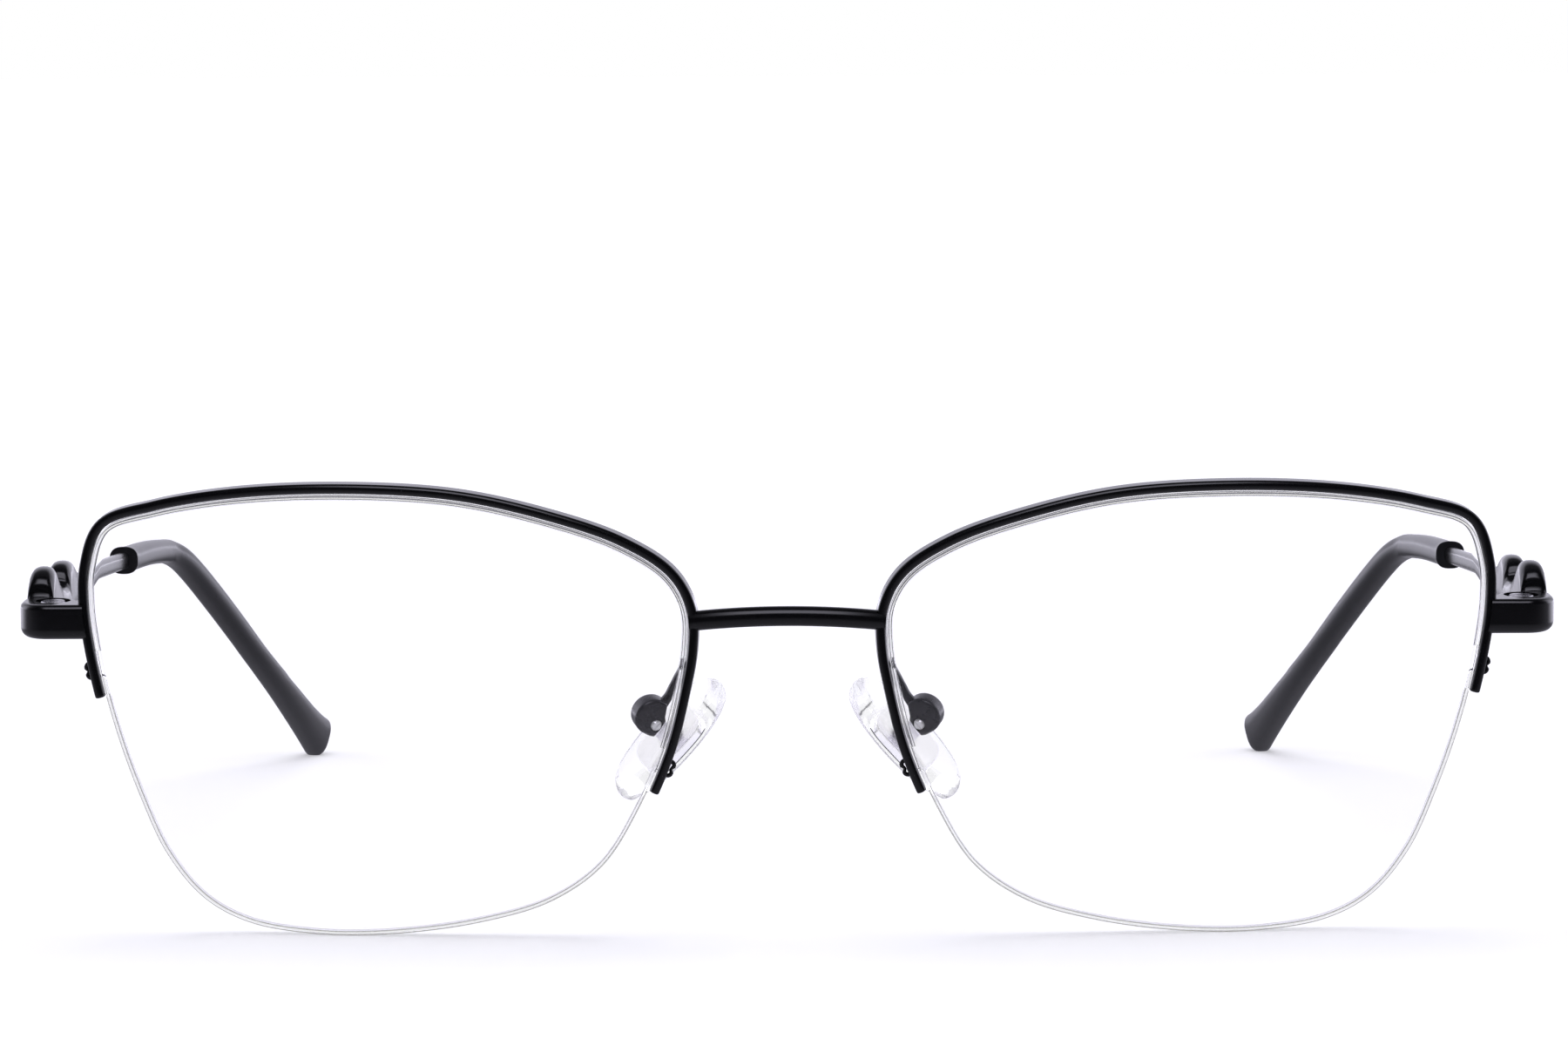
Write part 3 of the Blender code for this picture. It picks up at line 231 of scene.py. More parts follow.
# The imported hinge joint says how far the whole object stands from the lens's own start
rim_thickness = 0.00097
rim_depth = 0.00190
rim_outer_offset = rim_lens_gap + rim_thickness
rim_front_offset = (lens_thickness - rim_depth) / 2
rim_back_offset = rim_front_offset + rim_depth
groove_centre = lens_thickness / 2
end_piece_rise_on_rim = 0.00840
end_piece_front_proud = 0.0005
end_piece_front_reach = 0.0030
hinge_outset_from_rim = 0.0025
hinge_axis_lean = math.radians(3.0)
hinge_point = (on_front(outline.length_where(end_piece_rise_on_rim, False), rim_outer_offset,
                        rim_front_offset - end_piece_front_proud)
               + Vector((hinge_outset_from_rim, end_piece_front_reach, 0.0)))
hinge_place = Matrix.Translation(hinge_point) @ Matrix.Rotation(hinge_axis_lean, 4, 'X')
fold = next(joint for joint in frame["joints"] if joint["name"] == "left_temple_fold")
stand = Vector(fold["pos_m"]) - hinge_point
stand.z = 0.0


def linear(code):
    """Linear colour of an sRGB hex value."""
    shares = [int(code[start:start + 2], 16) / 255 for start in (1, 3, 5)]
    return (*[share / 12.92 if share <= 0.04045 else ((share + 0.055) / 1.055) ** 2.4
              for share in shares], 1.0)


def new_tree(name):
    material = bpy.data.materials.new(name)
    material.use_nodes = True
    material.node_tree.nodes.clear()
    return material, material.node_tree


def add_node(tree, kind, settings, feeds):
    """Adds a node with its settings; each feed is a value or another node's output."""
    made = tree.nodes.new(kind)
    for name, value in settings.items():
        setattr(made, name, value)
    for name, value in feeds.items():
        if isinstance(value, bpy.types.NodeSocket):
            tree.links.new(value, made.inputs[name])
        else:
            made.inputs[name].default_value = value
    return made


def shade(piece, sharp_degrees=38):
    piece.data.shade_smooth()
    piece.data.set_sharp_from_angle(angle=math.radians(sharp_degrees))
    return piece


def dress(piece, name, body, node, finishes):
    """Names a piece, gives it its finishes and hangs it on its body in place of its solid."""
    piece.name = name
    piece.data.name = name
    piece.data.materials.clear()
    for finish in finishes:
        piece.data.materials.append(finish)
    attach(piece, body)
    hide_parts(node)


def mirror(piece):
    piece.data.transform(Matrix.Diagonal((-1.0, 1.0, 1.0, 1.0)))
    piece.data.flip_normals()
    return piece


def make_pair(half, word, body, node, slot, *finishes):
    """The left piece and its mirror image, each on its own side's body."""
    half.data.transform(Matrix.Translation(stand))
    other = mirror(into_scene(bpy.data.objects.new(word, half.data.copy())))
    for piece, side in ((half, "left_"), (other, "right_")):
        dress(piece, side + word, body if body == "front" else side + body, side + node,
              finishes)
    return half, other


def make_finish(name, size, detail, tones, gloss, shine, relief=None, spread=(0.0, 1.0),
                gloss_grain=None):
    """A finish whose fine grain sets how rough it is, and its tone and relief where they vary.

    Size and detail are the grain's, tones one colour or two, gloss the two roughnesses that the
    grain's spread is mapped to, relief the strength and depth of the bumps. Shine holds the
    shader's constants, and gloss_grain is a second grain where the roughness has its own.
    """
    finish, tree = new_tree(name)
    coords = add_node(tree, "ShaderNodeTexCoord", {}, {})

    def noise(width, octaves):
        return add_node(tree, "ShaderNodeTexNoise", {},
                        {"Vector": coords.outputs["Object"], "Scale": 1 / width,
                         "Detail": octaves}).outputs["Fac"]

    grain = noise(size, detail)
    rough = add_node(tree, "ShaderNodeMapRange", {},
                     {"Value": noise(*gloss_grain) if gloss_grain else grain,
                      "From Min": spread[0], "From Max": spread[1],
                      "To Min": gloss[0], "To Max": gloss[1]})
    feeds = {"Base Color": linear(tones[0]), "Roughness": rough.outputs["Result"], **shine}
    if len(tones) == 2:
        mix = add_node(tree, "ShaderNodeMix", {"data_type": 'RGBA'},
                       {"Factor": grain, 6: linear(tones[0]), 7: linear(tones[1])})
        feeds["Base Color"] = mix.outputs[2]
    if relief:
        bump = add_node(tree, "ShaderNodeBump", {},
                        {"Height": grain, "Strength": relief[0], "Distance": relief[1]})
        feeds["Normal"] = bump.outputs["Normal"]
    shader = add_node(tree, "ShaderNodeBsdfPrincipled", {}, feeds)
    add_node(tree, "ShaderNodeOutputMaterial", {}, {"Surface": shader.outputs["BSDF"]})
    return finish


# Polished resin under an anti-reflection coat: clear to the eye, with the faintest wiping haze
resin_haze_size = 0.006
polished_resin = make_finish("polished_cr39_resin", resin_haze_size, 2.0, ["#FFFFFF"],
                             (0.0, 0.015), {"IOR": 1.50, "Specular IOR Level": 0.12,
                                            "Transmission Weight": 1.0}, spread=(0.45, 0.75))

# Ground resin, buffed: the white behind comes through it, and only its arrises draw thin grey lines
grit_size = 0.00012
buffed_resin = make_finish("buffed_cr39_edge", grit_size, 2.0, ["#FFFFFF"], (0.05, 0.11),
                           {"IOR": 1.50, "Transmission Weight": 1.0}, relief=(0.15, 0.000003))

# Ground resin, its satin grey painted darker and a touch warm against the lavender light: painted
# shade, so the broken corners and the groove's floor each draw one thin line
ground_resin_painted_grey = make_finish("ground_cr39_arris_painted_grey", grit_size, 2.0, ["#C6C6BC", "#E4E4DA"],
                            (0.22, 0.34), {"IOR": 1.50, "Transmission Weight": 0.35})

half_groove = lens_groove_width / 2
edge_profile = (
    (-lens_edge_chamfer, 0.0),
    (0.0, lens_edge_chamfer),
    (0.0, groove_centre - half_groove),
    (-lens_groove_depth, groove_centre - half_groove),
    (-lens_groove_depth, groove_centre + half_groove),
    (0.0, groove_centre + half_groove),
    (0.0, lens_thickness - lens_edge_chamfer),
    (-lens_edge_chamfer, lens_thickness),
)
lens_spots = spaced(rim_start, rim_end, rim_spans)[:-1] + cord_spots[:-1]
rings = [[on_surface(length, share, lens_polish_loss) for length in lens_spots]
         for share in dome_shares]
rings += [[on_front(length, outward, back) for length in lens_spots]
          for outward, back in edge_profile]
rings += [[on_surface(length, share, lens_thickness) for length in lens_spots]
          for share in reversed(dome_shares)]
lens = skin(rings, [lens_place @ Vector((0.0, back, 0.0))
                    for back in (lens_polish_loss, lens_thickness)])
edge_first = len(dome_shares) * len(lens_spots)
edge_last = edge_first + (len(edge_profile) - 1) * len(lens_spots)
# The broken corners and the groove's floor along the free edge take the grey painted shade
frosted_bands = (0, 3, len(edge_profile) - 2)
for piece in make_pair(shade(lens, sharp_degrees=14), "lens_blank", "front", "lens",
                       "clear_resin", polished_resin, buffed_resin, ground_resin_painted_grey):
    for index in range(edge_first, edge_last):
        band, spot = divmod(index - edge_first, len(lens_spots))
        frosted = band in frosted_bands and spot >= rim_spans
        piece.data.polygons[index].material_index = 2 if frosted else 1
    piece.visible_glossy = False


# Upper eyewires
# Nickel silver strip, drawn with a groove on its inner side and bent over the top of each lens,
# then lacquered black. Its two ends are rounded and drilled for the nylon cord.

rim_groove_width = 0.00070
rim_groove_depth = 0.00043
rim_end_round = 0.00025
rim_end_size_share = 0.74
rim_end_steps = 5
rim_section_shares = (
    (0.00, -0.66), (0.22, -0.93), (0.64, -0.965), (0.90, -0.76), (0.925, -0.34),
    (0.925, 0.34), (0.90, 0.76), (0.64, 0.965), (0.22, 0.93), (0.00, 0.66),
)
cord_diameter = 0.00040
cord_hole_gap = 0.00005
cord_hole_inset = 0.00180
cord_hole_pitch = 0.00130
cut_overrun = 0.0010


def oval(width, height, sides, power=2.0):
    """Points of an oval; a power above two squares it up."""
    points = []
    for side in range(sides):
        angle = 2 * math.pi * (side + 0.5) / sides
        cosine, sine = math.cos(angle), math.sin(angle)
        points.append((math.copysign(abs(cosine) ** (2 / power), cosine) * width / 2,
                       math.copysign(abs(sine) ** (2 / power), sine) * height / 2))
    return points


def prism(shape, bottom, top, place):
    """A flat shape raised from bottom to top and put in place."""
    return skin([[place @ Vector((x, y, level)) for x, y in shape] for level in (bottom, top)])


def carve(body, cutter, operation='DIFFERENCE'):
    """Cuts the cutter out of the body, or joins the two, and removes the cutter."""
    step = body.modifiers.new("carve", 'BOOLEAN')
    step.operation = operation
    step.solver = 'EXACT'
    step.object = cutter
    bpy.context.view_layer.update()
    graph = bpy.context.evaluated_depsgraph_get()
    mesh = bpy.data.meshes.new_from_object(body.evaluated_get(graph))
    body.modifiers.clear()
    body.data = mesh
    bpy.data.objects.remove(cutter)
    return body


def bore(body, diameter, sides, bottom, top, place):
    """Drills a round hole from bottom to top."""
    return carve(body, prism(oval(diameter, diameter, sides), bottom, top, place))


def local_frame(origin, x_axis, y_axis, z_axis):
    place = Matrix((x_axis, y_axis, z_axis)).transposed().to_4x4()
    place.translation = origin
    return place


def rim_section(size):
    """Section of the eyewire round its groove: outward from the lens edge, and back."""
    contour = spline([Vector(pair) for pair in rim_section_shares], 4)
    half_width = rim_groove_width / 2
    floor = rim_lens_gap + rim_groove_depth
    points = [(rim_lens_gap + spot.x * rim_thickness, groove_centre + spot.y * rim_depth / 2)
              for spot in contour]
    points += [
        (rim_lens_gap, groove_centre + half_width),
        (floor, groove_centre + half_width),
        (floor, groove_centre - half_width),
        (rim_lens_gap, groove_centre - half_width),
    ]
    middle = rim_lens_gap + rim_thickness / 2
    return [(middle + (outward - middle) * size, groove_centre + (back - groove_centre) * size)
            for outward, back in points]


# Black lacquer over metal: deep, wet gloss with a slight ripple, and pale only at a glancing look
ripple_size = 0.0009
fine_grain_size = 0.00015
black_lacquer = make_finish("black_lacquer_on_nickel_silver", ripple_size, 1.0,
                            ["#08080A", "#0D0D10"], (0.15, 0.21), {"IOR": 1.50},
                            relief=(0.20, 0.000006), gloss_grain=(fine_grain_size, 2.0))


def rounded(steps):
    """Steps of a rounded end: the share of its length, and how far it has grown to full size."""
    shares = [step / steps for step in range(steps)]
    return [(share, math.sqrt(1 - (1 - share) ** 2)) for share in shares]


rounding = [(share * rim_end_round, rim_end_size_share + (1 - rim_end_size_share) * grown)
            for share, grown in rounded(rim_end_steps)]
stops = [(rim_start + past, size) for past, size in rounding]
stops += [(length, 1.0) for length in spaced(rim_start + rim_end_round, rim_end - rim_end_round,
                                             rim_spans)]
stops += [(rim_end - past, size) for past, size in reversed(rounding)]
rim = skin([[on_front(length, outward, back) for outward, back in rim_section(size)]
            for length, size in stops])
for inset in (cord_hole_inset, cord_hole_inset + cord_hole_pitch):
    for length in (rim_start + inset, rim_end - inset):
        normal = outline.at(length)[1]
        place = lens_place @ local_frame(on_edge(length, 0.0, groove_centre),
                                         (normal.y, 0.0, -normal.x), (0.0, 1.0, 0.0),
                                         (normal.x, 0.0, normal.y))
        bore(rim, cord_diameter + 2 * cord_hole_gap, 20, rim_lens_gap + rim_groove_depth / 2,
             rim_outer_offset + cut_overrun, place)
make_pair(shade(rim), "eyewire", "front", "rim", "black_enamel", black_lacquer)


# Liners
# A strip of clear nylon pressed into each eyewire's groove. It beds the lens and shows as a pale
# band between the black wire and the glass.

liner_width = 0.00046
liner_seat_gap = 0.00006
liner_end_gap = 0.00080
liner_inset = cord_hole_inset + cord_hole_pitch + cord_diameter / 2 + liner_end_gap

# Extruded nylon: clear as water, with fine lines along the way it was drawn
draw_line_size = 0.00010
nylon = make_finish("extruded_clear_nylon", draw_line_size, 1.0, ["#FFFFFF"], (0.03, 0.09),
                    {"IOR": 1.53, "Transmission Weight": 1.0}, relief=(0.15, 0.000005))

liner_inner = liner_seat_gap - lens_groove_depth
liner_outer = rim_lens_gap + rim_groove_depth - liner_seat_gap
liner_middle = (liner_inner + liner_outer) / 2
section = [(liner_middle + x, groove_centre + y)
           for x, y in oval(liner_outer - liner_inner, liner_width, 16, 4.0)]
liner = skin([[on_front(length, outward, back) for outward, back in section]
              for length in spaced(rim_start + liner_inset, rim_end - liner_inset, rim_spans)])
for piece in make_pair(shade(liner), "liner_strip", "front", "rim_liner", "clear_nylon", nylon):
    piece.visible_shadow = False


# Lens cords
# Nylon monofilament, 0.4 mm thick. It lies in the groove under the lens, passes out through one
# hole at each end of the eyewire and back in through the next. The short stretch outside is
# painted near black, as painted shade for the black wire seen through the clear nylon, and shows
# as two dark beads.

cord_bend_radius = 0.00034
cord_dip = 0.00016
cord_dip_size_share = 0.72
cord_bend_steps = 5
cord_sides = 14

# Nylon painted near black, painted shade for the black eyewire seen through the clear loop: a dark
# bead that stays glossy, so it takes a small bright glint
painted_dark_nylon = make_finish("painted_dark_nylon", ripple_size, 2.0, ["#0A0A0B", "#1A1A1C"],
                              (0.10, 0.22), {"IOR": 1.53}, relief=(0.3, 0.00002))

# The threaded cord: length past the eyewire's end, outset and thickness share of each stop
bend = cord_bend_radius
rest = cord_diameter / 2 + liner_seat_gap - lens_groove_depth
over = rim_outer_offset + cord_diameter / 2 + cord_hole_gap
near, far = cord_hole_inset, cord_hole_inset + cord_hole_pitch
threaded = []
for middle, outset, first, last in ((near - bend, rest + bend, -90, 0),
                                    (near + bend, over - bend, 180, 90),
                                    (far - bend, over - bend, 90, 0)):
    for step in range(cord_bend_steps + 1):
        angle = math.radians(first + (last - first) * step / cord_bend_steps)
        threaded.append((middle + bend * math.cos(angle), outset + bend * math.sin(angle), 1.0))
    if first > 90:
        threaded.append(((near + far) / 2, over - cord_dip, cord_dip_size_share))
threaded.append((far, rim_lens_gap + cord_hole_gap, 1.0))

stops = [(rim_end - past, outward, size) for past, outward, size in reversed(threaded)]
stops += [(length, rest, 1.0) for length in cord_spots]
stops += [(rim_start + outline.total + past, outward, size) for past, outward, size in threaded]
centres = [on_edge(length, outward, groove_centre) for length, outward, size in stops]


def square_ring(centre, sideways, up, section):
    """A section set round a centre, along two directions square to the way on."""
    return [centre + sideways * x + up * y for x, y in section]


def direction(points, index):
    """The way that a chain of points runs at one of them."""
    return (points[min(index + 1, len(points) - 1)] - points[max(index - 1, 0)]).normalized()


rings = []
for index, centre in enumerate(centres):
    along = direction(centres, index)
    level = Vector((0.0, 1.0, 0.0))
    level = (level - along * level.dot(along)).normalized()
    outward = level.cross(along)
    thick = cord_diameter * stops[index][2]
    rings.append([lens_place @ point for point in
                  square_ring(centre, outward, level, oval(thick, thick, cord_sides))])
# The stretches outside the eyewire take the nylon painted near black, painted shade for the wire
painted_dark_spans = [index for index in range(len(stops) - 1)
          if min(stops[index][1], stops[index + 1][1]) > rim_outer_offset - cord_diameter / 2]
for piece in make_pair(shade(skin(rings)), "nylon_cord", "front", "lens_cord", "clear_nylon",
                       nylon, painted_dark_nylon):
    for index in painted_dark_spans:
        for side in range(cord_sides):
            piece.data.polygons[index * cord_sides + side].material_index = 1
    piece.visible_shadow = False


# Bridge
# Nickel silver wire of squared oval section, swaged into a slight arch. Each end laps the front
# of an eyewire as far as the lens side of it, and is brazed there under the lacquer.

bridge_height = 0.00180
bridge_depth = 0.00150
bridge_arch = 0.00043
bridge_bow = 0.00105
bridge_lap_proud = 0.00040
bridge_rise_on_rim = 0.00860
bridge_squareness = 2.1
bridge_half_steps = 60
bridge_lap_share = 0.06
bridge_seat_reach = 0.0035
braze_bite = 0.00005


def rim_cutter(rise, nasal, reach, section):
    """A cutter that follows the eyewire for a reach both ways from a place on it."""
    middle = outline.length_where(rise, nasal)
    return skin([[on_front(length, outward, back) for outward, back in section]
                 for length in spaced(middle - reach, middle + reach, 40)])


def rim_seat(rise, nasal, lap_share, reach):
    """Cutter for a piece brazed on the eyewire that laps a share of the front of it."""
    lap = rim_lens_gap + rim_thickness * lap_share
    side = rim_outer_offset - braze_bite
    front = rim_front_offset + braze_bite
    return rim_cutter(rise, nasal, reach,
                      ((-reach, -reach), (lap, -reach), (lap, front), (side, front),
                       (side, reach), (-reach, reach)))


spot = outline.length_where(bridge_rise_on_rim, True)
foot = on_front(spot, rim_outer_offset, groove_centre)
half_span = on_front(spot, -rim_lens_gap, groove_centre).x
bridge_section = oval(bridge_depth, bridge_height, 36, bridge_squareness)
rings = []
for step in range(-bridge_half_steps, bridge_half_steps + 1):
    share = step / bridge_half_steps
    lift = 1 - (share * half_span / foot.x) ** 2
    centre = Vector((half_span * share,
                     foot.y - bridge_lap_proud - (bridge_bow - bridge_lap_proud) * lift,
                     foot.z + bridge_arch * lift))
    along = Vector((1.0, 2 * (bridge_bow - bridge_lap_proud) * share / foot.x,
                    -2 * bridge_arch * share / foot.x)).normalized()
    level = Vector((-along.y, along.x, 0.0)).normalized()
    up = along.cross(level)
    rings.append(square_ring(centre, level, up, bridge_section))
bridge = skin(rings)
for on_right in (False, True):
    seat = rim_seat(bridge_rise_on_rim, True, bridge_lap_share, bridge_seat_reach)
    carve(bridge, mirror(seat) if on_right else seat)
bridge.data.transform(Matrix.Translation(stand))
dress(shade(bridge), "bridge_bar", "front", "bridge", [black_lacquer])


# End pieces
# Cast nickel silver blocks brazed to the outer flanks of the eyewires. Each is sawn from behind
# into a fork for the hinge and sunk on top for the head of the hinge screw.

end_piece_height = 0.00320
end_piece_outer_reach = 0.0029
end_piece_rear_reach = 0.0022
end_piece_front_round = 0.0026
end_piece_lower_round = 0.00095
end_piece_rear_round = 0.00130
end_piece_top_round = 0.00048
end_piece_lap_share = 0.45
end_piece_seat_reach = 0.0048
end_piece_round_steps = 8
hinge_slot_height = 0.00120
hinge_hole_diameter = 0.00150
hinge_screw_sink_diameter = 0.00315
hinge_screw_sink_depth = 0.00055
tongue_eye_radius = 0.00175
tongue_inner_reach = 0.00030
tongue_swing_gap = 0.00015


def arc(centre_x, centre_y, radius, start, end, steps):
    """Points of an arc, both ends included; degrees from +X towards +Y."""
    return [(centre_x + radius * math.cos(math.radians(start + (end - start) * step / steps)),
             centre_y + radius * math.sin(math.radians(start + (end - start) * step / steps)))
            for step in range(steps + 1)]


def soften(piece, width, segments, count):
    """Rounds the edges round both ends of a prism that has count sides."""
    shell = bmesh.new()
    shell.from_mesh(piece.data)
    edges = [edge for edge in shell.edges
             if edge.calc_face_angle(0.0) > math.radians(50)
             and (edge.verts[0].index < count) == (edge.verts[1].index < count)]
    bmesh.ops.bevel(shell, geom=edges, offset=width, offset_type='OFFSET', segments=segments,
                    profile=0.5, affect='EDGES', clamp_overlap=True)
    shell.to_mesh(piece.data)
    return piece


half_height = end_piece_height / 2
outer, rear = end_piece_outer_reach, end_piece_rear_reach
inner = -hinge_outset_from_rim - rim_thickness * (1 - end_piece_lap_share / 2)


def block_level(level, inset):
    """Outline of the end piece at one height, drawn in by the round of its lower or upper edge."""
    points = [(inner, inset - end_piece_front_reach)]
    points += arc(outer - end_piece_front_round, end_piece_front_round - end_piece_front_reach,
                  end_piece_front_round - inset, -90, 0, 14)
    points += arc(outer - end_piece_rear_round, rear - end_piece_rear_round,
                  end_piece_rear_round - inset, 0, 90, 9)
    points += arc(0.0, 0.0, rear - inset, 90, 180, 16) + [(inner, 0.0)]
    return [hinge_place @ Vector((x, y, level)) for x, y in points]


quarter = [math.radians(90 * step / end_piece_round_steps)
           for step in range(end_piece_round_steps + 1)]
levels = [(end_piece_lower_round * (1 - math.cos(turn)) - half_height,
           end_piece_lower_round * (1 - math.sin(turn))) for turn in quarter]
levels += [(half_height - end_piece_top_round * (1 - math.sin(turn)),
            end_piece_top_round * (1 - math.cos(turn))) for turn in quarter]
block = skin([block_level(level, inset) for level, inset in levels])
carve(block, rim_seat(end_piece_rise_on_rim, False, end_piece_lap_share, end_piece_seat_reach))
half_slot = hinge_slot_height / 2
slot_radius = tongue_eye_radius + tongue_swing_gap
slot_front = -tongue_inner_reach - tongue_swing_gap
meets = math.degrees(math.asin(-slot_front / slot_radius))
far_way = hinge_outset_from_rim + rim_depth + cut_overrun
slot = [(-far_way, slot_front)] + arc(0.0, 0.0, slot_radius, meets - 180, 0, 24)
slot += [(slot_radius, rear + cut_overrun), (-far_way, rear + cut_overrun)]
carve(block, prism(slot, -half_slot, half_slot, hinge_place))
bore(block, hinge_hole_diameter, 32, -half_height - cut_overrun, half_height + cut_overrun,
     hinge_place)
bore(block, hinge_screw_sink_diameter, 48, half_height - hinge_screw_sink_depth,
     half_height + cut_overrun, hinge_place)
for piece in make_pair(shade(block, sharp_degrees=30), "end_block", "front", "end_piece",
                       "black_enamel", black_lacquer):
    piece.modifiers.new("flat faces", 'WEIGHTED_NORMAL').keep_sharp = True


# Hinge screws
# Turned stainless steel with a slotted cheese head, driven down through the fork.

hinge_screw_diameter = 0.00140
hinge_screw_head_diameter = 0.00225
hinge_screw_head_height = 0.00047
hinge_screw_slot_width = 0.00045
hinge_screw_slot_depth = 0.00022
hinge_screw_seat_gap = 0.00005
hinge_screw_chamfer = 0.00008


def turn_screw(head_diameter, head_height, shank_diameter, shank_length, slot_width, slot_depth,
               chamfer, sides, place):
    """Slotted screw: its head's underside at z = 0, the head above and the shank below."""
    levels = (
        (shank_diameter - 2 * chamfer, -shank_length),
        (shank_diameter, chamfer - shank_length),
        (shank_diameter, 0.0),
        (head_diameter, 0.0),
        (head_diameter, head_height - chamfer),
        (head_diameter - 2 * chamfer, head_height),
    )
    screw = skin([[place @ Vector((x, y, level)) for x, y in oval(width, width, sides)]
                  for width, level in levels])
    half_width = slot_width / 2
    slot = [(-head_diameter, -half_width), (head_diameter, -half_width),
            (head_diameter, half_width), (-head_diameter, half_width)]
    return carve(screw, prism(slot, head_height - slot_depth, head_height + cut_overrun, place))


# Turned steel: fine rings from the lathe and a soft shine
lathe_pitch = 0.00012
turned_steel = make_finish("turned_stainless_steel", lathe_pitch, 3.0, ["#B9B8BC"],
                           (0.18, 0.34), {"Metallic": 1.0}, relief=(0.20, 0.000005))

seat_level = half_height - hinge_screw_sink_depth + hinge_screw_seat_gap
screw = turn_screw(hinge_screw_head_diameter, hinge_screw_head_height, hinge_screw_diameter,
                   seat_level + half_height - hinge_screw_seat_gap, hinge_screw_slot_width,
                   hinge_screw_slot_depth, hinge_screw_chamfer, 48,
                   hinge_place @ Matrix.Translation((0.0, 0.0, seat_level)))
make_pair(shade(screw, sharp_degrees=30), "hinge_bolt", "front", "hinge_screw", "bright_steel",
          turned_steel)


# Hinge tongues
# Stamped steel tongues. Each has an eye that turns about the hinge screw inside the fork and a
# tang brazed into the slot at the front of its temple.

tongue_thickness = 0.00100
tongue_length = 0.0060

meets = math.degrees(math.acos(-tongue_inner_reach / tongue_eye_radius))
shape = [(-tongue_inner_reach, tongue_length)]
shape += arc(0.0, 0.0, tongue_eye_radius, meets, 360, 40)
shape += [(tongue_eye_radius, tongue_length)]
tongue = prism(shape, -tongue_thickness / 2, tongue_thickness / 2, hinge_place)
bore(tongue, hinge_hole_diameter, 32, -cut_overrun, cut_overrun, hinge_place)
make_pair(shade(tongue, sharp_degrees=30), "hinge_leaf", "temple", "temple_hinge",
          "black_enamel", black_lacquer)


# Temple fronts
# Cast nickel silver, with two raised humps like drops on its upper edge, slotted in front for
# the hinge tang. Lacquered black like the front.

temple_run = 0.1270
temple_inward = 0.01475
temple_outset_from_hinge = 0.00155
temple_trim_width = 0.00258
temple_front_gap = 0.00015
temple_squareness = 2.6
trim_length = 0.0260
trim_hump_height = 0.00415
trim_lower_height = 0.0016
trim_flank_low_share = 0.35
trim_flank_top_share = 0.90
trim_shoulder_share = 0.86
trim_crest_share = 0.55
trim_foot_share = 0.7
trim_slot_side_gap = 0.00008
trim_slot_end_gap = 0.0001
tip_start_run = 0.0622
tip_width = 0.00260
tip_height = 0.00248
tip_end_width = 0.00290
tip_end_height = 0.00524
tip_end_lift = 0.00066
tip_end_round = 0.00130
tip_foot_depth = 0.00012
temple_route_shares = (
    (0.000, 0.000, 0.000), (0.085, 0.000, -0.005), (0.190, 0.002, -0.009),
    (0.310, 0.012, -0.009), (0.453, 0.041, 0.016), (0.609, 0.085, 0.047),
    (0.690, 0.115, 0.075), (0.712, 0.132, 0.086), (0.742, 0.215, 0.135),
    (0.898, 0.693, 0.640), (1.000, 1.000, 1.000),
)
trim_section_shares = (
    (0.000, 0.35, 1.00, 0.98, 0.90), (0.011, 0.37, 1.00, 1.00, 0.84),
    (0.018, 0.46, 1.00, 1.00, 0.74), (0.021, 0.56, 1.00, 1.00, 0.70),
    (0.027, 0.70, 1.00, 1.00, 0.76), (0.044, 0.83, 1.00, 1.00, 0.80),
    (0.070, 0.92, 1.00, 1.00, 0.82), (0.095, 0.96, 1.00, 1.00, 0.82),
    (0.125, 0.97, 0.99, 1.00, 0.80), (0.170, 0.93, 0.98, 1.00, 0.76),
    (0.245, 0.73, 0.95, 1.00, 0.68), (0.330, 0.46, 0.93, 0.98, 0.66),
    (0.410, 0.35, 0.90, 0.97, 0.70), (0.485, 0.34, 0.87, 0.96, 0.74),
    (0.500, 0.39, 0.87, 0.96, 0.70), (0.506, 0.48, 0.86, 0.96, 0.68),
    (0.514, 0.59, 0.86, 0.96, 0.74), (0.533, 0.70, 0.86, 0.96, 0.76),
    (0.558, 0.76, 0.85, 0.96, 0.76), (0.590, 0.785, 0.84, 0.96, 0.76),
    (0.640, 0.77, 0.82, 0.95, 0.74), (0.720, 0.68, 0.78, 0.92, 0.66),
    (0.830, 0.47, 0.70, 0.82, 0.58), (0.930, 0.32, 0.64, 0.72, 0.60),
    (1.000, 0.28, 0.60, 0.66, 0.60),
)
tip_swell_shares = (
    (0.00, 0.00), (0.45, 0.01), (0.75, 0.07), (0.90, 0.365), (0.96, 0.64), (1.00, 1.00),
)
tip_end_shares = ((0.00, 1.00), (0.20, 0.985), (0.40, 0.93), (0.60, 0.84), (0.78, 0.71),
                  (0.91, 0.55), (0.97, 0.38), (0.99, 0.22))


class TempleRoute:
    """Centre line of the temple from the hinge line to its end, with lengths along it."""

    def __init__(self, drop):
        start = hinge_point + Vector((temple_outset_from_hinge, 0.0, 0.0))
        self.points = spline([start + Vector((-inward * temple_inward, run * temple_run,
                                              -down * drop))
                              for run, inward, down in temple_route_shares], 24)
        self.lengths = running_lengths(self.points)
        self.total = self.lengths[-1]

    def ring(self, length, section, lift=0.0):
        """A section set square to the centre line at a length along it."""
        last = len(self.points) - 1
        index = min(max(bisect_left(self.lengths, length) - 1, 0), last - 1)
        share = (length - self.lengths[index]) / (self.lengths[index + 1] - self.lengths[index])
        centre = self.points[index].lerp(self.points[index + 1], share)
        here = (self.points[index + 1] - self.points[max(index - 1, 0)]).normalized()
        there = (self.points[min(index + 2, last)] - self.points[index]).normalized()
        along = here.lerp(there, share).normalized()
        outward = along.cross(Vector((0.0, 0.0, 1.0))).normalized()
        return square_ring(centre, outward, outward.cross(along),
                           [(x, y + lift) for x, y in section])


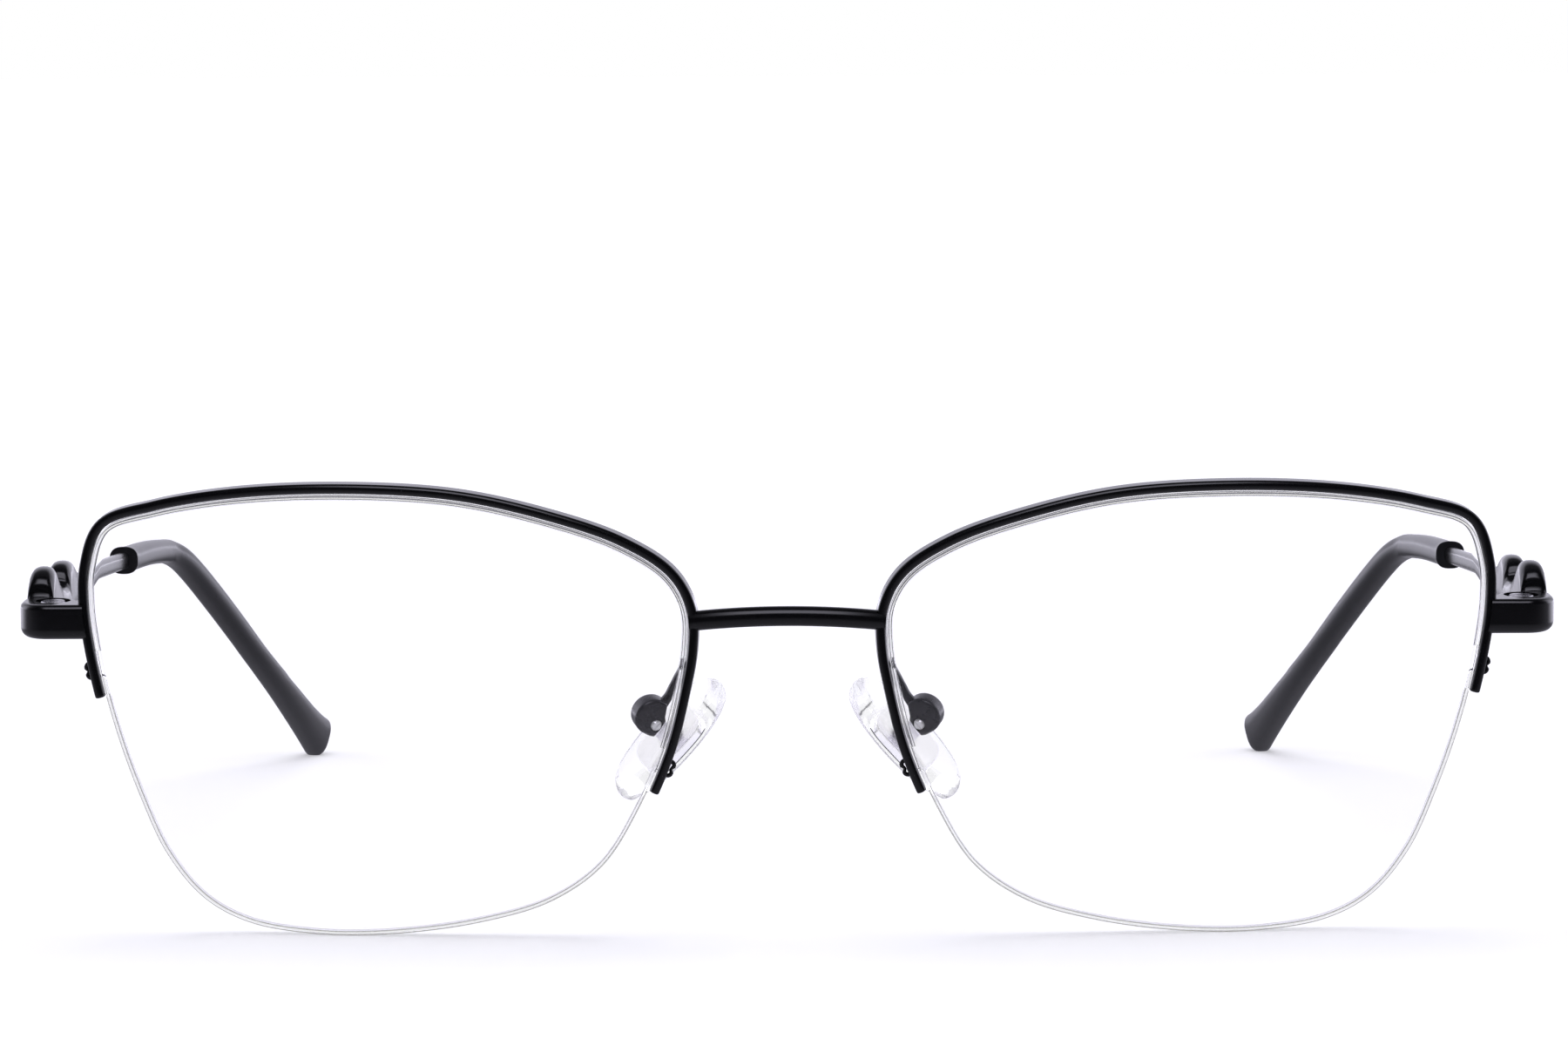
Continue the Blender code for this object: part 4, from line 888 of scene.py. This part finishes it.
def tip_ring(line, length, size):
    """Section of the sleeve, which swells from its mouth to its rear end."""
    share = (length - tip_start_run) / (line.total - tip_start_run)
    swell = 1.0
    for (before, low), (after, high) in zip(tip_swell_rows, tip_swell_rows[1:]):
        if share <= after:
            swell = low + (share - before) / (after - before) * (high - low)
            break
    width = tip_width + (tip_end_width - tip_width) * swell
    height = tip_height + (tip_end_height - tip_height) * swell
    section = oval(width * size, height * size, 40, temple_squareness)
    return line.ring(length, section, tip_end_lift * swell)


def tip_rear(line):
    """Rings of the sleeve's rounded rear end."""
    last = line.total - tip_end_round
    return [tip_ring(line, last + past * tip_end_round, size) for past, size in tip_end_shares]


# The temple drops until its rear end just stands on the table
tip_swell_rows = spline([Vector(row) for row in tip_swell_shares], 6)
drop = hinge_point.z
for _ in range(5):
    low_point = min(point.z for ring in tip_rear(TempleRoute(drop)) for point in ring)
    drop += low_point + tip_foot_depth
route = TempleRoute(drop)
trim_start = end_piece_rear_reach + temple_front_gap


def trim_ring(row):
    """Section of the temple front at one place: wide at the waist, narrow at the crest."""
    along, top_share, low_share, waist_share, crest_share = row
    half_waist = temple_trim_width / 2 * waist_share
    half_crest = half_waist * crest_share
    top = trim_hump_height * top_share
    low = -trim_lower_height * low_share
    flank_top = max((top + low) / 2, 0.0) * trim_flank_top_share
    half = [(half_waist * trim_foot_share, low), (half_waist, low * trim_flank_low_share),
            (half_waist, flank_top), (half_crest, top * trim_shoulder_share),
            (half_crest * trim_crest_share, top)]
    corners = half[1:] + [(-x, y) for x, y in reversed(half)] + half[:1]
    section = spline([Vector(corner) for corner in corners], 4, True)
    return route.ring(trim_start + along * trim_length, section)


trim = skin([trim_ring(row) for row in spline([Vector(row) for row in trim_section_shares], 6)])
slot_side, slot_end = tongue_eye_radius + trim_slot_side_gap, tongue_length + trim_slot_end_gap
slot = [(-temple_trim_width, trim_start - cut_overrun), (slot_side, trim_start - cut_overrun),
        (slot_side, slot_end), (-temple_trim_width, slot_end)]
carve(trim, prism(slot, -half_slot, half_slot, hinge_place))
make_pair(shade(trim, sharp_degrees=32), "temple_front", "temple", "temple_trim",
          "black_enamel", black_lacquer)


# Arms
# Stainless spring wire of squared oval section, brazed into the temple front and lacquered. It
# runs on inside the sleeve as its core.

arm_width = 0.00120
arm_height = 0.00170
arm_front_depth = 0.0012
arm_rear_margin = 0.0090

section = oval(arm_width, arm_height, 24, temple_squareness)
arm = skin([route.ring(length, section)
            for length in spaced(trim_start + trim_length - arm_front_depth,
                                 route.total - arm_rear_margin, 140)])
make_pair(shade(arm), "temple_arm", "temple", "temple_wire", "black_enamel", black_lacquer)


# Ear sleeves
# Injection moulded black nylon, pushed over the arm when warm and bent with it. The surface is
# satin from the mould, so it takes a soft grey sheen, and the end swells behind the ear.

sleeve_mouth_round = 0.00014
sleeve_mouth_share = 0.95
sleeve_mouth_steps = 5
sleeve_mouth_flare = 0.12
sleeve_flare_length = 0.0030

# Moulded black nylon: satin, a touch blue grey, with a fine grain from the mould
mould_grain_size = 0.00060
satin_black = make_finish("satin_moulded_black_nylon", mould_grain_size, 2.0,
                          ["#101014", "#141419"], (0.26, 0.32), {"IOR": 1.53},
                          relief=(0.15, 0.000008))

rings = []
for share, grown in rounded(sleeve_mouth_steps):
    size = sleeve_mouth_share + (1 - sleeve_mouth_share) * grown + sleeve_mouth_flare
    rings.append(tip_ring(route, tip_start_run + share * sleeve_mouth_round, size))
for length in spaced(tip_start_run + sleeve_mouth_round, route.total - tip_end_round, 150)[:-1]:
    left = max(0.0, 1 - (length - tip_start_run) / sleeve_flare_length)
    rings.append(tip_ring(route, length, 1.0 + sleeve_mouth_flare * left * left))
sleeve = skin(rings + tip_rear(route))
table = temple_run * 2
carve(sleeve, prism([(-table, -table), (table, -table), (table, table), (-table, table)],
                    -cut_overrun, 0.0, Matrix.Identity(4)))
make_pair(shade(sleeve, sharp_degrees=30), "ear_sleeve", "temple", "temple_tip",
          "black_acetate", satin_black)


# Pad arms
# Bent nickel silver wire brazed to the back of each eyewire, with a small round box at its free
# end that holds the pad's lug. Lacquered black, but painted charcoal all over: painted light for
# the paler look it has behind the lens.

pad_axis_outset = 0.00303
pad_axis_back = 0.0129
pad_axis_drop = 0.00150
pad_lean = math.radians(43.0)
pad_splay = math.radians(64.0)
pad_axis_to_core = 0.00255
pad_box_radius = 0.00174
pad_box_depth = 0.0018
pad_box_reach = 0.00070
pad_box_shoulder = 0.00030
pad_box_shoulder_half_height = 0.00115
pad_box_centre_back = 0.00075
pad_box_centre_rise = 0.0004
pad_box_edge_round = 0.00042
pad_lug_thickness = 0.00070
pad_lug_radius = 0.00085
pad_lug_gap = 0.00010
pad_screw_diameter = 0.00070
pad_screw_gap = 0.00005
pad_screw_head_diameter = 0.00105
pad_screw_head_height = 0.00025
pad_screw_slot_width = 0.00020
pad_screw_slot_depth = 0.00010
pad_arm_diameter = 0.00110
pad_arm_foot_rise = 0.0046
pad_arm_foot_share = 0.40
pad_arm_entry_back = 0.0006
pad_arm_entry_rise = 0.0027
pad_arm_inside_share = 0.70
pad_arm_seat_reach = 0.0035
pad_arm_route_shares = (
    (0.00, 0.00, 0.00), (0.02, 0.28, 0.05), (0.12, 0.60, 0.17), (0.40, 0.90, 0.44),
    (0.76, 0.99, 0.75), (1.00, 1.00, 1.00),
)

# Pad axes: x across the pad along its screw, y towards the nose, z up the pad
across = Vector((math.cos(pad_lean), 0.0, math.sin(pad_lean)))
behind = Vector((0.0, 1.0, 0.0))
pad_place = local_frame((lens_gap_at_nose / 2 + pad_axis_outset, pad_axis_back,
                         lens_place.translation.z - pad_axis_drop),
                        across * math.cos(pad_splay) + behind * math.sin(pad_splay),
                        behind * math.cos(pad_splay) - across * math.sin(pad_splay),
                        (-math.sin(pad_lean), 0.0, math.cos(pad_lean)))
side_view = pad_place @ local_frame((0.0, 0.0, 0.0), (0.0, 1.0, 0.0), (0.0, 0.0, 1.0),
                                    (1.0, 0.0, 0.0))

# Black lacquer painted charcoal rather than black, painted light for its paler look behind the
# lens, with soft cloudy patches of painted highlight
cloud_size = 0.0007
painted_pale_lacquer = make_finish("black_lacquer_painted_pale", cloud_size, 3.0, ["#1D1C21", "#2E2D33"],
                           (0.22, 0.40), {"IOR": 1.50}, relief=(0.25, 0.000015),
                           spread=(0.3, 0.7))

foot = on_front(outline.length_where(pad_arm_foot_rise, True),
                rim_lens_gap + rim_thickness * pad_arm_foot_share, groove_centre)
above = pad_place @ Vector((0.0, -pad_arm_entry_back, pad_arm_entry_rise))
inside = pad_place @ Vector((0.0, -pad_arm_entry_back, pad_box_radius * pad_arm_inside_share))
stops = [foot + (above - foot) * Vector(shares) for shares in pad_arm_route_shares]
centres = spline(stops + [inside], 12)
sideways = Vector((1.0, 0.0, 0.0))
wire_section = oval(pad_arm_diameter, pad_arm_diameter, 24)
rings = []
for index, centre in enumerate(centres):
    along = direction(centres, index)
    sideways = (sideways - along * sideways.dot(along)).normalized()
    rings.append(square_ring(centre, sideways, along.cross(sideways), wire_section))
arm = skin(rings)
end_half = pad_lug_radius + pad_lug_gap
shape = arc(-pad_box_centre_back, pad_box_centre_rise, pad_box_radius, 78, 282, 40)
shape += [(pad_box_shoulder, -pad_box_shoulder_half_height), (pad_box_reach, -end_half),
          (pad_box_reach, end_half), (pad_box_shoulder, pad_box_shoulder_half_height)]
half_box = pad_box_depth / 2
carve(arm, soften(prism(shape, -half_box, half_box, side_view), pad_box_edge_round, 6,
                  len(shape)), 'UNION')
half_slot = pad_lug_thickness / 2 + pad_lug_gap
slot_reach = pad_lug_radius + pad_lug_gap * 2
slot = [(-end_half, -slot_reach), (pad_box_reach + cut_overrun, -slot_reach),
        (pad_box_reach + cut_overrun, slot_reach), (-end_half, slot_reach)]
carve(arm, prism(slot, -half_slot, half_slot, side_view))
pad_hole_diameter = pad_screw_diameter + 2 * pad_screw_gap
bore(arm, pad_hole_diameter, 24, -half_box - cut_overrun, half_box + cut_overrun, side_view)
bore(arm, pad_screw_head_diameter + 2 * pad_lug_gap, 32, -half_box - cut_overrun,
     pad_screw_head_height - half_box, side_view)
reach, back = pad_arm_seat_reach, rim_back_offset - braze_bite
carve(arm, rim_cutter(pad_arm_foot_rise, True, reach,
                      ((-reach, -reach), (reach, -reach), (reach, back), (-reach, back))))
for piece in make_pair(shade(arm, sharp_degrees=35), "pad_wire", "front", "pad_arm",
                       "black_enamel", painted_pale_lacquer):
    piece.modifiers.new("flat faces", 'WEIGHTED_NORMAL').keep_sharp = True


# Pad cores
# Stamped stainless plates moulded into the pads, each with a lug that enters the box. Through
# the clear pad the plate shows as a bright steel strip.

pad_thickness = 0.0030
pad_centre_drop = 0.00018
plate_length = 0.0068
plate_width = 0.0054
plate_thickness = 0.00060
plate_shift = 0.00030
plate_squareness = 3.6
plate_sides = 48
plate_edge_round = 0.00013
border_depth = 0.00003
border_flat_cosine = 0.97
border_start_share = 0.40

# Stamped steel: a soft bright face with fine brush lines
brush_line_size = 0.00020
stamped_steel = make_finish("stamped_stainless_steel", brush_line_size, 3.0, ["#FBFAFD"],
                            (0.10, 0.24), {"Metallic": 1.0}, relief=(0.10, 0.000002))

# Steel painted darker grey on a border band: painted shade for the dark line that the plate's
# edge shows through the pad
painted_border_steel = make_finish("stamped_steel_painted_dark_border", brush_line_size, 2.0,
                            ["#3C3C42", "#6E6D74"], (0.30, 0.45), {"Metallic": 0.6})

plate_y = pad_axis_to_core + plate_shift
shape = arc(0.0, 0.0, pad_lug_radius, 90, 270, 24)
shape += [(plate_y, -pad_lug_radius), (plate_y, pad_lug_radius)]
core = prism(shape, -pad_lug_thickness / 2, pad_lug_thickness / 2, side_view)
plate_place = pad_place @ local_frame((0.0, plate_y, -pad_centre_drop), (1.0, 0.0, 0.0),
                                      (0.0, 0.0, 1.0), (0.0, -1.0, 0.0))
carve(core, soften(prism(oval(plate_width, plate_length, plate_sides, plate_squareness),
                         -plate_thickness / 2, plate_thickness / 2, plate_place),
                   plate_edge_round, 3, plate_sides), 'UNION')
bore(core, pad_hole_diameter, 24, -pad_box_depth, pad_box_depth, side_view)

# The painted dark border runs along the plate's two long sides, on the rounded edge of its
# nose-side face
flat = plate_place.inverted()
borders = []
for polygon in core.data.polygons:
    centre = flat @ polygon.center
    tilted = abs((flat.to_3x3() @ polygon.normal).z) < border_flat_cosine
    if (tilted and abs(centre.x) > plate_width * border_start_share
            and centre.z < border_depth - plate_thickness / 2 + plate_edge_round):
        borders.append(polygon.index)
for piece in make_pair(shade(core, sharp_degrees=35), "pad_core", "pad", "pad_insert",
                       "bright_steel", stamped_steel, painted_border_steel):
    for index in borders:
        piece.data.polygons[index].material_index = 1


# Nose pads
# Clear silicone rubber, moulded round the core plate: soft, domed towards the nose and rounded
# all over. It is nearly invisible on white but for its darker edges.

pad_length = 0.0137
pad_width = 0.0074
pad_taper_share = 0.02
pad_squareness = 0.80
pad_sides = 72
pad_profile_shares = (
    (0.000, -0.90), (0.300, -0.89), (0.550, -0.86), (0.860, -0.70), (0.985, -0.25),
    (1.000, 0.12), (0.930, 0.55), (0.620, 0.90), (0.300, 0.985), (0.000, 1.00),
)

# Clear silicone: softly glossy, with the slow waves of a moulded rubber
silicone_wave_size = 0.0025
silicone = make_finish("clear_moulded_silicone", silicone_wave_size, 2.0, ["#FAFAFC"],
                       (0.04, 0.12), {"IOR": 1.41, "Transmission Weight": 1.0},
                       relief=(0.20, 0.00003))

half_pad = pad_thickness / 2
rings = []
profile = spline([Vector(row) for row in pad_profile_shares], 5)
for size_share, level_share in profile[1:-1]:
    ring = []
    for side in range(pad_sides):
        angle = 2 * math.pi * side / pad_sides
        up_share, out_share = math.sin(angle), math.cos(angle)
        width = pad_width / 2 * (1 - pad_taper_share * up_share)
        squared = math.copysign(abs(out_share) ** pad_squareness, out_share)
        ring.append(pad_place @ Vector((squared * width * size_share,
                                        pad_axis_to_core + half_pad * level_share,
                                        up_share * pad_length / 2 * size_share
                                        - pad_centre_drop)))
    rings.append(ring)
pad = skin(rings, [pad_place @ Vector((0.0, pad_axis_to_core + half_pad * end.y,
                                       -pad_centre_drop)) for end in (profile[0], profile[-1])])
for piece in make_pair(shade(pad, sharp_degrees=60), "silicone_pad", "pad", "nose_pad",
                       "clear_silicone", silicone):
    piece.visible_shadow = False


# Pad screws
# Tiny slotted screws of turned steel, bright as delivered, put in from the front after the
# lacquer. Each passes through the box and the pad's lug.

pad_screw_chamfer = 0.00017

# Satin nickel plate on steel: nearly white, with a fine mist of brightness
plate_grain_size = 0.00012
satin_nickel = make_finish("satin_nickel_plate", plate_grain_size, 2.0, ["#F2F1F4", "#FFFFFF"],
                           (0.24, 0.38), {"Metallic": 0.45})

head_seat = half_box - pad_screw_head_height
place = pad_place @ local_frame((0.0, 0.0, 0.0), (0.0, 0.0, 1.0), (0.0, 1.0, 0.0),
                                (-1.0, 0.0, 0.0))
screw = turn_screw(pad_screw_head_diameter, pad_screw_head_height, pad_screw_diameter,
                   head_seat + half_box, pad_screw_slot_width, pad_screw_slot_depth,
                   pad_screw_chamfer, 32,
                   place @ Matrix.Translation((0.0, 0.0, head_seat + pad_screw_gap)))
make_pair(shade(screw, sharp_degrees=30), "pad_bolt", "front", "pad_screw", "bright_steel",
          satin_nickel)


# Table, room and lamps
# A white table under a soft white tent. What stands behind the spectacles is bright and what
# stands on the camera's side is dark, so the lacquer stays black in front and pales at a glance.

table_half = 12.0
fibre_size = 0.004


def reckon(tree, operation, result, *others, clamp=False):
    """A sum on values or other nodes' outputs, carried on from the first to the last."""
    for other in others or (0.0,):
        result = add_node(tree, "ShaderNodeMath", {"operation": operation, "use_clamp": clamp},
                          {0: result, 1: other}).outputs[0]
    return result


def fade(tree, value, start, end, first, last):
    """A soft step: first up to the start, last from the end on."""
    return add_node(tree, "ShaderNodeMapRange", {"interpolation_type": 'SMOOTHSTEP'},
                    {"Value": value, "From Min": start, "From Max": end,
                     "To Min": first, "To Max": last}).outputs["Result"]


def ray_kinds(tree):
    """Whether a surface is seen, straight or through something clear, and whether mirrored."""
    paths = add_node(tree, "ShaderNodeLightPath", {}, {}).outputs
    return (reckon(tree, 'MAXIMUM', paths["Is Camera Ray"], paths["Is Transmission Ray"]),
            reckon(tree, 'SUBTRACT', paths["Is Glossy Ray"], paths["Is Transmission Ray"],
                   clamp=True))


# White card: it glows a little where it is seen, and its mirror image is brighter beyond the
# spectacles and out to the sides than in front
table_white, tree = new_tree("matt_white_table")
seen, mirrored = ray_kinds(tree)
spot = add_node(tree, "ShaderNodeTexCoord", {}, {}).outputs["Object"]
fibre = add_node(tree, "ShaderNodeTexNoise", {},
                 {"Vector": spot, "Scale": 1 / fibre_size, "Detail": 2.0})
tone = add_node(tree, "ShaderNodeMix", {"data_type": 'RGBA'},
                {"Factor": fibre.outputs["Fac"], 6: linear("#E6E6EA"), 7: linear("#EAEAEE")})
matt = add_node(tree, "ShaderNodeBsdfDiffuse", {}, {"Color": tone.outputs[2]})
away = add_node(tree, "ShaderNodeVectorMath", {"operation": 'LENGTH'}, {0: spot})
lift = reckon(tree, 'MULTIPLY', seen,
              fade(tree, away.outputs["Value"], 0.18, 1.2, 0.34, 0.80))
glow = add_node(tree, "ShaderNodeEmission", {}, {"Strength": lift})
lit = add_node(tree, "ShaderNodeAddShader", {}, {0: matt.outputs[0], 1: glow.outputs[0]})
ways = add_node(tree, "ShaderNodeSeparateXYZ", {}, {"Vector": spot}).outputs
wings = reckon(tree, 'MULTIPLY',
               fade(tree, reckon(tree, 'ABSOLUTE', ways["X"]), 0.10, 0.32, 0.0, 2.4),
               fade(tree, ways["Y"], -0.05, 0.08, 0.0, 1.0))
bright = reckon(tree, 'ADD', fade(tree, ways["Y"], -0.22, -0.04, 0.03, 0.42),
                fade(tree, ways["Y"], 0.04, 0.30, 0.0, 0.70), wings)
image = add_node(tree, "ShaderNodeEmission", {},
                 {"Color": linear("#F1EFFF"), "Strength": bright})
whole = add_node(tree, "ShaderNodeMixShader", {},
                 {0: mirrored, 1: lit.outputs[0], 2: image.outputs[0]})
add_node(tree, "ShaderNodeOutputMaterial", {}, {"Surface": whole.outputs[0]})
table_white.cycles.emission_sampling = 'NONE'
corners = [(-table_half, -table_half, 0.0), (table_half, -table_half, 0.0),
           (table_half, table_half, 0.0), (-table_half, table_half, 0.0)]
floor = new_piece(corners, [(0, 1, 2, 3)], "table_top")
floor.data.materials.append(table_white)

# White tent: its mirror image is a backdrop that is dimmed overhead, a narrow strip above the
# camera, and bright flanks behind the lenses
room = bpy.data.worlds.new("white_tent")
bpy.context.scene.world = room
room.use_nodes = True
tree = room.node_tree
tree.nodes.clear()
seen, mirrored = ray_kinds(tree)
coords = add_node(tree, "ShaderNodeTexCoord", {}, {})
ways = add_node(tree, "ShaderNodeSeparateXYZ", {}, {"Vector": coords.outputs["Generated"]}).outputs
sideways = reckon(tree, 'ABSOLUTE', ways["X"])
backdrop = reckon(tree, 'MULTIPLY', fade(tree, ways["Y"], -0.45, 0.65, 0.02, 1.15),
                  fade(tree, ways["Z"], 0.55, 0.85, 1.0, 0.15))
strip = reckon(tree, 'MULTIPLY', fade(tree, ways["Z"], 0.40, 0.52, 0.0, 3.0),
               fade(tree, ways["Z"], 0.80, 0.92, 1.0, 0.0),
               fade(tree, ways["Y"], -0.45, -0.20, 1.0, 0.0),
               fade(tree, sideways, 0.18, 0.36, 1.0, 0.0))
flanks = reckon(tree, 'MULTIPLY', fade(tree, sideways, 0.62, 0.95, 0.0, 2.0),
                fade(tree, ways["Z"], -0.25, 0.0, 0.0, 1.0),
                fade(tree, ways["Y"], -0.08, 0.28, 0.0, 1.0))
bright = reckon(tree, 'ADD', backdrop, strip, flanks)
fill, white, tent = [
    add_node(tree, "ShaderNodeBackground", {}, {"Color": linear(code), "Strength": strength})
    for code, strength in (("#F4F2FF", 0.62), ("#FFFFFF", 1.0), ("#F1EFFF", bright))]
shown = add_node(tree, "ShaderNodeMixShader", {},
                 {0: seen, 1: fill.outputs[0], 2: white.outputs[0]})
whole = add_node(tree, "ShaderNodeMixShader", {},
                 {0: mirrored, 1: shown.outputs[0], 2: tent.outputs[0]})
add_node(tree, "ShaderNodeOutputWorld", {}, {"Surface": whole.outputs[0]})
room.cycles.sampling_method = 'NONE'

lamps = (
    ("overhead_softbox", (0.0, 0.12, 0.75), (0.0, 0.0, 0.01), 0.60, 2.2),
    ("left_softbox", (0.70, 0.05, 0.40), (0.0, 0.0, 0.02), 0.35, 0.5),
    ("right_softbox", (-0.70, 0.05, 0.40), (0.0, 0.0, 0.02), 0.35, 0.5),
)
for name, spot, aim, size, power in lamps:
    data = bpy.data.lights.new(name, 'AREA')
    data.size = size
    data.energy = power
    lamp = into_scene(bpy.data.objects.new(name, data))
    lamp.location = spot
    lamp.rotation_euler = (Vector(aim) - Vector(spot)).to_track_quat('-Z', 'Y').to_euler()
    lamp.visible_glossy = False


# Camera
# Half a metre in front of the lenses and a little above, as in the photograph.

frame_width_px = 1800
camera_shift_px = -3.2
camera_distance = 0.493945
camera_height = 0.080422
camera_tilt_degrees = 4.943
camera_roll_degrees = -0.24

camera_data = bpy.data.cameras.new("camera")
camera_data.sensor_width = 36.0
camera_data.lens = 127.90
camera_data.shift_x = camera_shift_px / frame_width_px
camera_data.clip_start = 0.01
camera = into_scene(bpy.data.objects.new("camera", camera_data))
camera.location = (0.0, stand.y - camera_distance, camera_height)
camera.rotation_euler = (math.radians(90 - camera_tilt_degrees), 0.0, 0.0)
camera.rotation_euler.rotate_axis('Z', math.radians(camera_roll_degrees))
bpy.context.scene.camera = camera

bpy.context.scene.view_settings.view_transform = 'Standard'

# Clear pads and lens edges turn the light many times before it comes out
bpy.context.scene.cycles.max_bounces = 24
bpy.context.scene.cycles.glossy_bounces = 12
bpy.context.scene.cycles.transmission_bounces = 24
